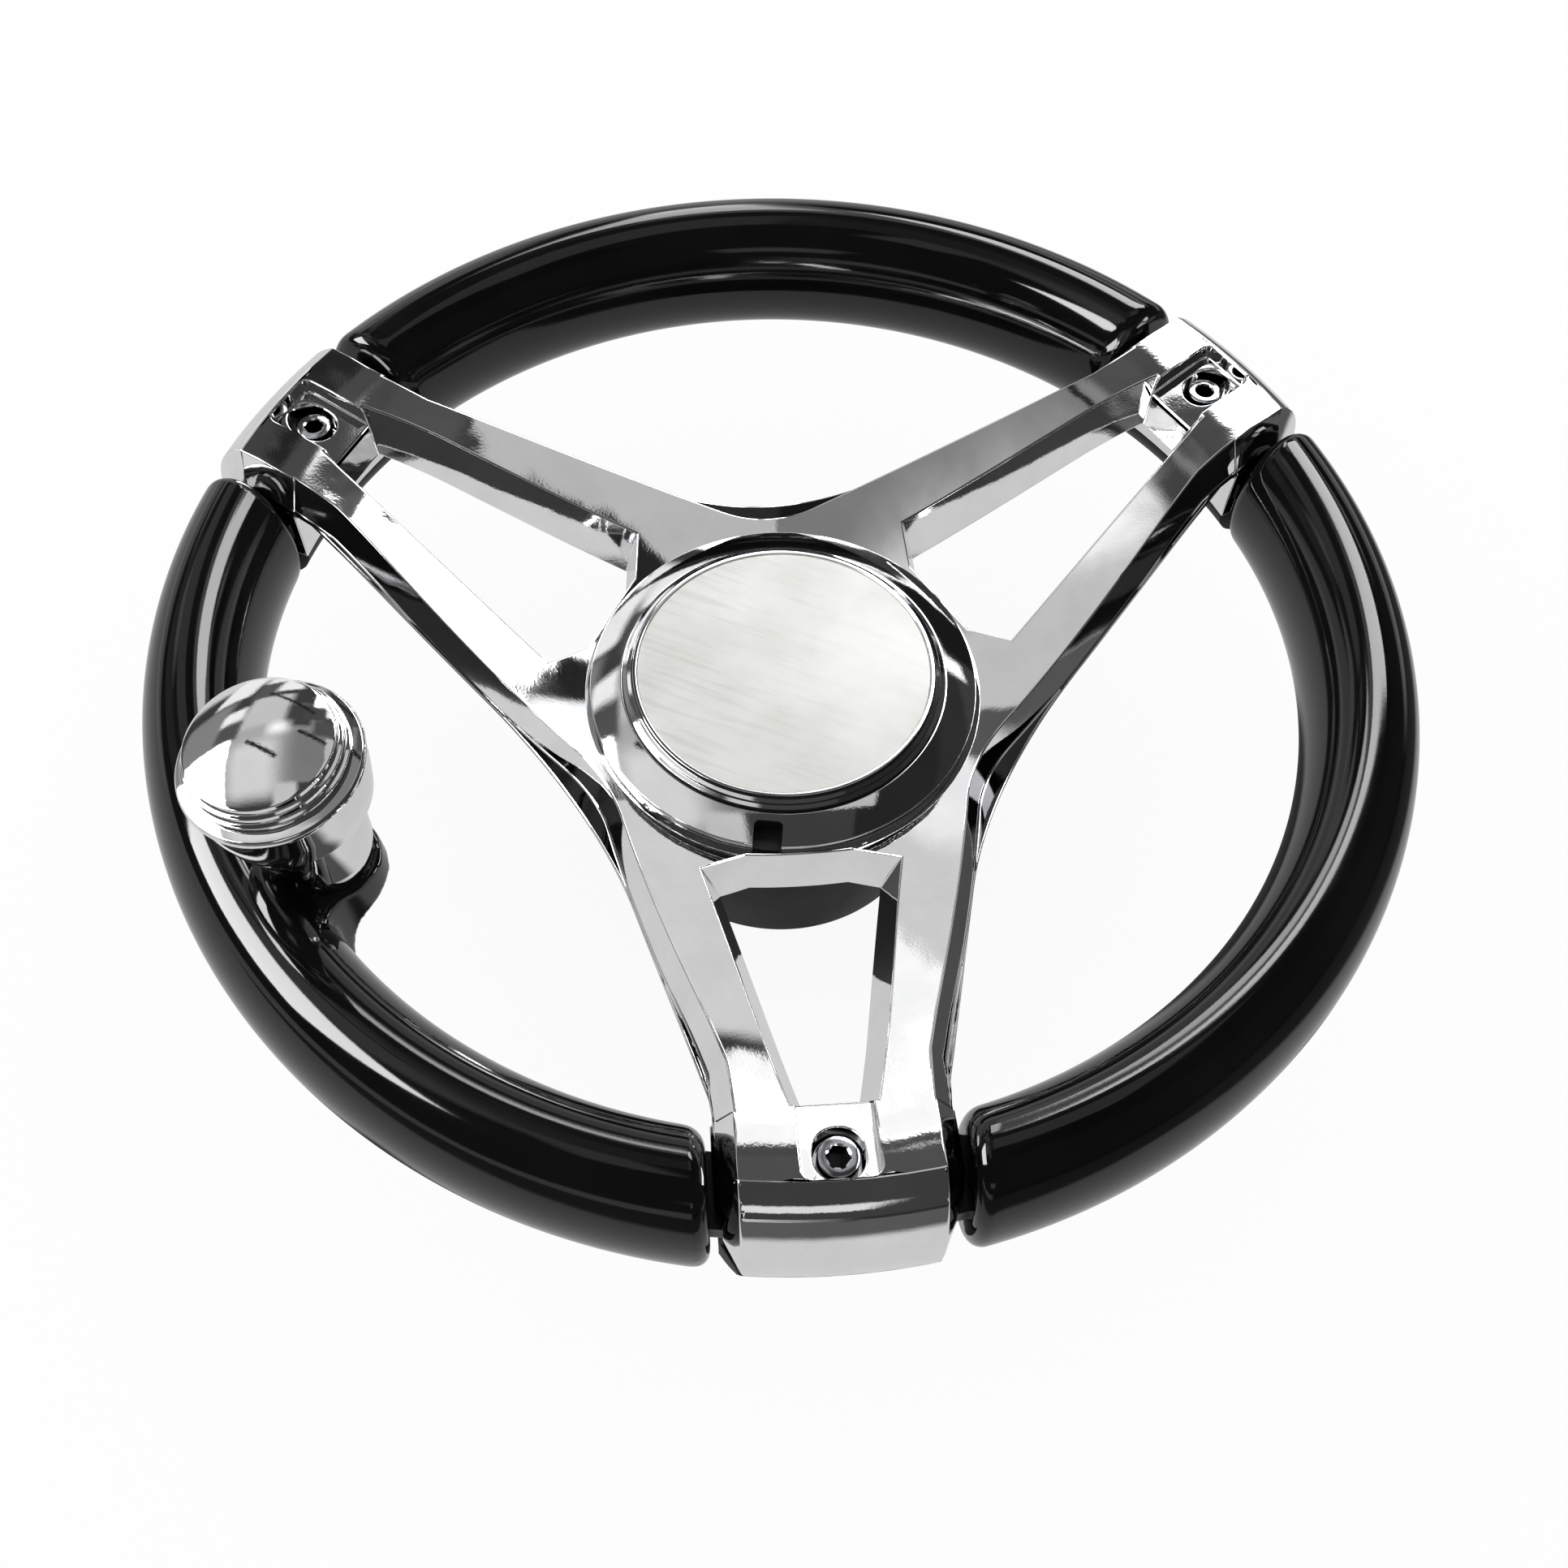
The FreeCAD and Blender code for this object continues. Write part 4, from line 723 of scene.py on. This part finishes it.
def bezel():
    """Turns the ring and cuts the notch, whose walls come out black."""
    ring = lathe("bezel_cone", eased([
        (0.0410, 0.0618), (0.0500, 0.0618), (0.0561, 0.06467), (0.0561, 0.06697), (0.0473, 0.0698),
        (0.0467, 0.0698), (0.0467, 0.0678), (0.0410, 0.0678)], 0.00035), trim_chrome,
        "wheel", "bezel_ring", turns=256)
    inner, outer, half, corner = 0.0492, 0.0611, 0.004, 0.0015
    notch_floor, notch_angle = 0.0646, math.radians(-99)
    outline = swing((inner + corner, half - corner), corner, 90, 180, 6)
    outline += swing((inner + corner, corner - half), corner, 180, 270, 6)
    outline += [(outer, -half), (outer, half)]
    helper = prism("notch_shape", outline, notch_floor, 0.08, Matrix.Rotation(notch_angle, 4, "Z"))
    helper.data.materials.append(satin_black)
    cut = ring.modifiers.new("notch", "BOOLEAN")
    cut.operation = "DIFFERENCE"
    cut.solver = "EXACT"
    cut.material_mode = "TRANSFER"
    cut.object = helper
    frozen(ring).set_sharp_from_angle(angle=math.radians(30))
    bpy.data.objects.remove(helper)


bezel()


# Centre cap: a black body that snaps into the hub plate, a chrome trim ring with its step walls
# painted black as painted shade, and a plain pearl-white lacquered disc with faint brushed streaks.

refinish("cap_body", satin_black)
trim = lathe("trim_steps", eased([
    (0.0424, 0.0690), (0.0466, 0.0690), (0.0466, 0.0708), (0.0453, 0.0713), (0.0453, 0.0718),
    (0.0440, 0.0722), (0.0440, 0.0727), (0.0435, 0.0731), (0.0424, 0.0731)], 0.00025), trim_chrome,
    "wheel", "cap_trim", turns=256)
trim.data.materials.append(satin_black)
# the steep step walls take the black satin finish: painted shade between the steps
trim_bore, steepest_tread = 0.0428, 0.82
for face in trim.data.polygons:
    if math.hypot(face.center.x, face.center.y) > trim_bore and abs(face.normal.z) < steepest_tread:
        face.material_index = 1


def pearl_lacquer():
    """Lacquer with soft clouds and slanting streaks that fade out towards the right."""
    finish, tree, shader, place = node_tree("pearl_lacquer")
    streaks = noise(tree, place, 300, 6, 0.65, (0.14, 1.6, 1), math.radians(27))
    cloud = noise(tree, place, 34, 3, 0.5)
    base = tint(tree, cloud, (0.66, 0.665, 0.63), (0.76, 0.765, 0.745), 0.36, 0.60)
    mark = tint(tree, streaks, (0.60, 0.60, 0.55), (1.0, 1.0, 1.0), 0.36, 0.50)
    share = spread(tree, parts_of(tree, "Object")["X"], 0.34, 0.08, -0.03, 0.02)
    tree.links.new(mixed_tint(tree, share, base, mark, "MULTIPLY"), shader.inputs["Base Color"])
    tree.links.new(spread(tree, streaks, 0.42, 0.30), shader.inputs["Roughness"])
    relief(tree, shader, streaks, 0.04, 0.0001)
    return finish


lathe("pearl_disc", eased([(0.0, 0.0713), (0.0423, 0.0713), (0.0423, 0.0729), (0.0, 0.0729)], 0.0004),
      pearl_lacquer(), "wheel", "cap_insert", turns=256)


# Spinner knob: chromed pedestal on a brass insert and a steel shoulder screw, and over it the
# turning head: a chromed drum with a bead, and a domed cap with stepped rings.

insert_brass = milled("insert_brass", (0.78, 0.60, 0.28), (0.62, 0.46, 0.20), 0.28, (1, 1, 4))
refinish("knob_insert", insert_brass)
refinish("knob_spindle", steel_with_painted_socket_shade)
refinish("knob_washer", zinc_steel)
bushing_white = satin_moulding("bushing_white", (0.70, 0.69, 0.64), (0.78, 0.77, 0.72), 0.45, 900)
refinish("bushing_lower", bushing_white)
refinish("bushing_upper", bushing_white)

lathe("knob_pedestal", eased([
    (0.0051, 0.0136), (0.0104, 0.0136), (0.0122, 0.0210), (0.0145, 0.0442), (0.0145, 0.0457),
    (0.0140, 0.0462), (0.0051, 0.0462)], 0.0006), trim_chrome, "wheel", "knob_stem",
    knob_place)


def arc(start, end, radius, steps):
    """Points of an arc that bulges outwards from start, the lower point, to end."""
    centre = arc_centre(start, end, radius)
    first = math.degrees(math.atan2(start[1] - centre.y, start[0] - centre.x))
    last = math.degrees(math.atan2(end[1] - centre.y, end[0] - centre.x))
    return swing(centre, radius, first, last if last > first else last + 360, steps)


drum_profile = [(0.0153, 0.0432), (0.0173, 0.0432), (0.0189, 0.0447), (0.0203, 0.0522)]
drum_profile += arc((0.0210, 0.0587), (0.0210, 0.0613), 0.0018, 8)
drum_profile += [(0.0188, 0.0618), (0.0140, 0.0618), (0.0140, 0.0595), (0.00705, 0.0595),
                 (0.00705, 0.0485), (0.0153, 0.0485)]
lathe("knob_drum", eased(drum_profile, 0.0004), trim_chrome, "knob", "knob_shell",
      knob_place, turns=192)

dome_profile = [(0.01195, 0.0598), (0.01395, 0.0598), (0.01395, 0.0618), (0.0188, 0.0618),
                (0.0191, 0.0625), (0.0191, 0.0642), (0.0181, 0.0645), (0.0181, 0.0663),
                (0.0171, 0.0666)]
dome_profile += arc((0.0171, 0.0686), (0.0, 0.0716), 0.0502, 24)
dome_profile += [(0.0, 0.0686), (0.01195, 0.0666)]
lathe("knob_dome", eased(dome_profile, 0.00035), trim_chrome, "knob", "knob_cap",
      knob_place, turns=192)


# Studio surround: white all round for the eye and for even light, and for the gloss a bright back
# wall, a pale left side, and a dark front and right side.

world = bpy.data.worlds.new("studio")
bpy.context.scene.world = world
world.use_nodes = True
sky = world.node_tree
sky.nodes.clear()


def feed(tree, value, socket):
    """Sets a socket to a number or links it to another socket."""
    if isinstance(value, (int, float)):
        socket.default_value = value
    else:
        tree.links.new(value, socket)


def joined(tree, kind, first, second):
    """Two levels added, multiplied and so on; each is a number or a socket."""
    node = tree.nodes.new("ShaderNodeMath")
    node.operation = kind
    feed(tree, first, node.inputs[0])
    feed(tree, second, node.inputs[1])
    return node.outputs[0]


def edge_of(tree, value, low, high):
    """0 below low, 1 above high, smooth between; low above high turns it round."""
    rising = low < high
    step = tree.nodes.new("ShaderNodeMapRange")
    step.interpolation_type = "SMOOTHSTEP"
    step.inputs["From Min"].default_value = min(low, high)
    step.inputs["From Max"].default_value = max(low, high)
    step.inputs["To Min"].default_value = 0.0 if rising else 1.0
    step.inputs["To Max"].default_value = 1.0 if rising else 0.0
    tree.links.new(value, step.inputs["Value"])
    return step.outputs["Result"]


def laid_over(tree, share, first, second):
    """first where share is 0, second where it is 1; each is a number or a socket."""
    node = tree.nodes.new("ShaderNodeMix")
    node.data_type = "FLOAT"
    tree.links.new(share, node.inputs[0])
    feed(tree, first, node.inputs[2])
    feed(tree, second, node.inputs[3])
    return node.outputs[0]


way = parts_of(sky, "Generated")
sides = laid_over(sky, edge_of(sky, way["X"], -0.30, 0.15), 0.75, 0.03)
surround = laid_over(sky, edge_of(sky, way["Y"], 0.25, 0.45), sides, 1.0)
rays = sky.nodes.new("ShaderNodeLightPath")
level_seen = laid_over(sky, rays.outputs["Is Glossy Ray"], 1.0, surround)
shine = sky.nodes.new("ShaderNodeBackground")
out = sky.nodes.new("ShaderNodeOutputWorld")
shine.inputs["Color"].default_value = (1, 1, 1, 1)
sky.links.new(level_seen, shine.inputs["Strength"])
sky.links.new(shine.outputs["Background"], out.inputs["Surface"])


# Studio ceiling: a dark board over the wheel with lit panels, grey cards and three dark rods. Only
# the gloss sees it, so that chrome and black skin mirror it as clean patches.

def board(name, height, half):
    """A level square board of the studio, its half side given, and the nodes of its paint."""
    mesh = bpy.data.meshes.new(name)
    mesh.from_pydata([(-half, -half, height), (half, -half, height), (half, half, height),
                      (-half, half, height)], [], [(0, 1, 2, 3)])
    finish = bpy.data.materials.new(name + "_paint")
    finish.use_nodes = True
    mesh.materials.append(finish)
    piece = bpy.data.objects.new(name, mesh)
    bpy.context.scene.collection.objects.link(piece)
    return piece, finish.node_tree


ceiling, light_tree = board("studio_ceiling", 0.78, 5.0)
ceiling.visible_camera = False
ceiling.visible_diffuse = False
ceiling.visible_shadow = False
ceiling.visible_transmission = False
ceiling_at = parts_of(light_tree, "Object")


def within(tree, value, low, high, soft):
    """1 from low to high and 0 outside, with soft edges."""
    return joined(tree, "MULTIPLY", edge_of(tree, value, low - soft, low + soft),
                  edge_of(tree, value, high + soft, high - soft))


def patch(tree, across, away, left, right, near, far, soft):
    """1 on a rectangle and 0 around it, with soft edges."""
    return joined(tree, "MULTIPLY", within(tree, across, left, right, soft),
                  within(tree, away, near, far, soft))


brightness = 0.05

# left, right, near, far and soft edge in metres, then the level; later cards hide earlier ones
for left, right, near, far, soft, shine_level in (
        (-5.00, 5.00, 1.56, 5.00, 0.20, 0.70),
        (-0.45, 0.30, -2.20, -1.50, 0.08, 0.80),
        (-1.50, -0.78, 0.34, 1.00, 0.08, 0.25),
        (-0.66, -0.02, -0.14, 0.60, 0.07, 0.45),
        (-0.20, 0.06, -0.13, 0.34, 0.08, 0.22),
        (-0.56, -0.24, 0.40, 0.86, 0.04, 0.60),
        (-0.78, -0.56, 0.33, 0.54, 0.03, 0.09),
        (-0.80, -0.58, 0.56, 0.74, 0.04, 1.00),
        (-0.62, -0.40, 0.88, 1.30, 0.04, 0.10),
        (-0.42, -0.20, 0.98, 1.34, 0.04, 1.00),
        (-0.62, -0.30, 1.34, 2.60, 0.06, 0.95),
        (-1.10, -0.68, 1.05, 2.20, 0.05, 0.95),
        (-0.24, -0.07, 0.34, 0.62, 0.03, 0.06),
        (-0.56, -0.26, -0.14, 0.24, 0.07, 0.76),
        (0.22, 0.62, -0.40, 0.37, 0.02, 0.02),
        (0.60, 0.82, -0.40, 0.68, 0.03, 0.03),
        (-0.12, 0.24, -0.30, -0.070, 0.006, 0.05),
        (-0.26, -0.12, -0.30, -0.07, 0.02, 0.60),
        (0.02, 0.31, -0.070, 0.24, 0.006, 0.54),
        (-0.06, 0.28, 0.255, 0.41, 0.02, 0.085),
        (0.50, 0.80, 0.80, 1.60, 0.04, 1.20),
        (0.10, 0.60, 0.41, 0.84, 0.02, 12.0),
        (0.60, 0.70, 0.50, 0.78, 0.02, 0.02),
        (0.72, 0.92, 0.68, 0.82, 0.02, 1.20),
        (0.80, 1.40, 0.86, 1.90, 0.03, 0.01),
        (0.01, 0.13, 0.455, 3.00, 0.01, 1.10),
        (-0.13, 0.00, 0.41, 0.60, 0.01, 0.07),
        (0.00, 0.20, 0.40, 0.452, 0.006, 0.07),
        (-0.07, 0.075, 0.60, 1.50, 0.02, 8.0),
        (-1.70, -0.62, -0.45, 0.33, 0.03, 20.0),
        (-0.33, -0.21, 0.29, 0.40, 0.05, 1.10)):
    card = patch(light_tree, ceiling_at["X"], ceiling_at["Y"], left, right, near, far, soft)
    brightness = laid_over(light_tree, card, brightness, shine_level)

# middle, length and width in metres, then the turn in degrees and the level
for x, y, length, width, degrees, shine_level in (
        (-0.27, 0.725, 0.62, 0.030, -49, 0.02),
        (-0.36, 0.19, 0.28, 0.030, -37, 0.02),
        (-0.06, 0.245, 0.20, 0.026, -31, 0.02)):
    c, s = math.cos(math.radians(degrees)), math.sin(math.radians(degrees))
    along = joined(light_tree, "ADD", joined(light_tree, "MULTIPLY", ceiling_at["X"], c),
                   joined(light_tree, "MULTIPLY", ceiling_at["Y"], s))
    beside = joined(light_tree, "SUBTRACT", joined(light_tree, "MULTIPLY", ceiling_at["Y"], c),
                    joined(light_tree, "MULTIPLY", ceiling_at["X"], s))
    a, b = x * c + y * s, y * c - x * s
    rod = patch(light_tree, along, beside, a - length / 2, a + length / 2, b - width / 2,
                b + width / 2, width / 3)
    brightness = laid_over(light_tree, rod, brightness, shine_level)

glow = light_tree.nodes.new("ShaderNodeEmission")
light_tree.links.new(brightness, glow.inputs["Strength"])
light_tree.links.new(glow.outputs["Emission"], light_tree.nodes["Material Output"].inputs["Surface"])


# Floor: pale paper. The eye sees it white with the wheel's shadow, and the gloss sees it darken to
# the right and the front and in the shade beside the lower spoke.

_, floor_tree = board("studio_floor", -0.0002, 6.0)
floor_shader = floor_tree.nodes["Principled BSDF"]
floor_shader.inputs["Base Color"].default_value = (0.9, 0.9, 0.9, 1)
floor_shader.inputs["Roughness"].default_value = 0.9
ground = parts_of(floor_tree, "Object")
mirrored = laid_over(floor_tree, edge_of(floor_tree, ground["X"], 0.30, 0.38), 0.66, 0.03)
mirrored = laid_over(floor_tree, edge_of(floor_tree, ground["Y"], -0.34, -0.42), mirrored, 0.04)
for left, right, near, far in ((0.09, 0.17, -0.11, 0.03), (-0.15, -0.075, -0.14, -0.085)):
    shade = patch(floor_tree, ground["X"], ground["Y"], left, right, near, far, 0.01)
    mirrored = laid_over(floor_tree, shade, mirrored, 0.03)
seen = floor_tree.nodes.new("ShaderNodeLightPath")
paper = floor_tree.nodes.new("ShaderNodeEmission")
blend = floor_tree.nodes.new("ShaderNodeMixShader")
paper_level = laid_over(floor_tree, seen.outputs["Is Glossy Ray"], 1.0, mirrored)
floor_tree.links.new(paper_level, paper.inputs["Strength"])
either = joined(floor_tree, "MAXIMUM", seen.outputs["Is Camera Ray"], seen.outputs["Is Glossy Ray"])
paper_share = 0.92
floor_tree.links.new(joined(floor_tree, "MULTIPLY", either, paper_share), blend.inputs["Fac"])
floor_tree.links.new(floor_shader.outputs["BSDF"], blend.inputs[1])
floor_tree.links.new(paper.outputs["Emission"], blend.inputs[2])
floor_tree.links.new(blend.outputs["Shader"], floor_tree.nodes["Material Output"].inputs["Surface"])


# Camera: the photograph's own view, from in front and above.

camera = bpy.data.cameras.new("photo_camera")
camera.sensor_width = 36
camera.sensor_height = 36
camera.sensor_fit = "HORIZONTAL"
camera.lens = 37.24
camera.clip_start = 0.02
viewer = bpy.data.objects.new("photo_camera", camera)
bpy.context.scene.collection.objects.link(viewer)
stand = Vector((-0.02912, -0.27440, 0.45164))
forward = Vector((0.05857, 0.52640, -0.84822)).normalized()
horizon = Vector((0.99387, -0.11059, 0.0)).normalized()
over = horizon.cross(forward)
roll = math.radians(2.36)
right = horizon * math.cos(roll) + over * math.sin(roll)
up = over * math.cos(roll) - horizon * math.sin(roll)
viewer.matrix_world = Matrix((
    (right.x, up.x, -forward.x, stand.x),
    (right.y, up.y, -forward.y, stand.y),
    (right.z, up.z, -forward.z, stand.z),
    (0, 0, 0, 1)))
bpy.context.scene.camera = viewer
bpy.context.scene.view_settings.view_transform = "Standard"
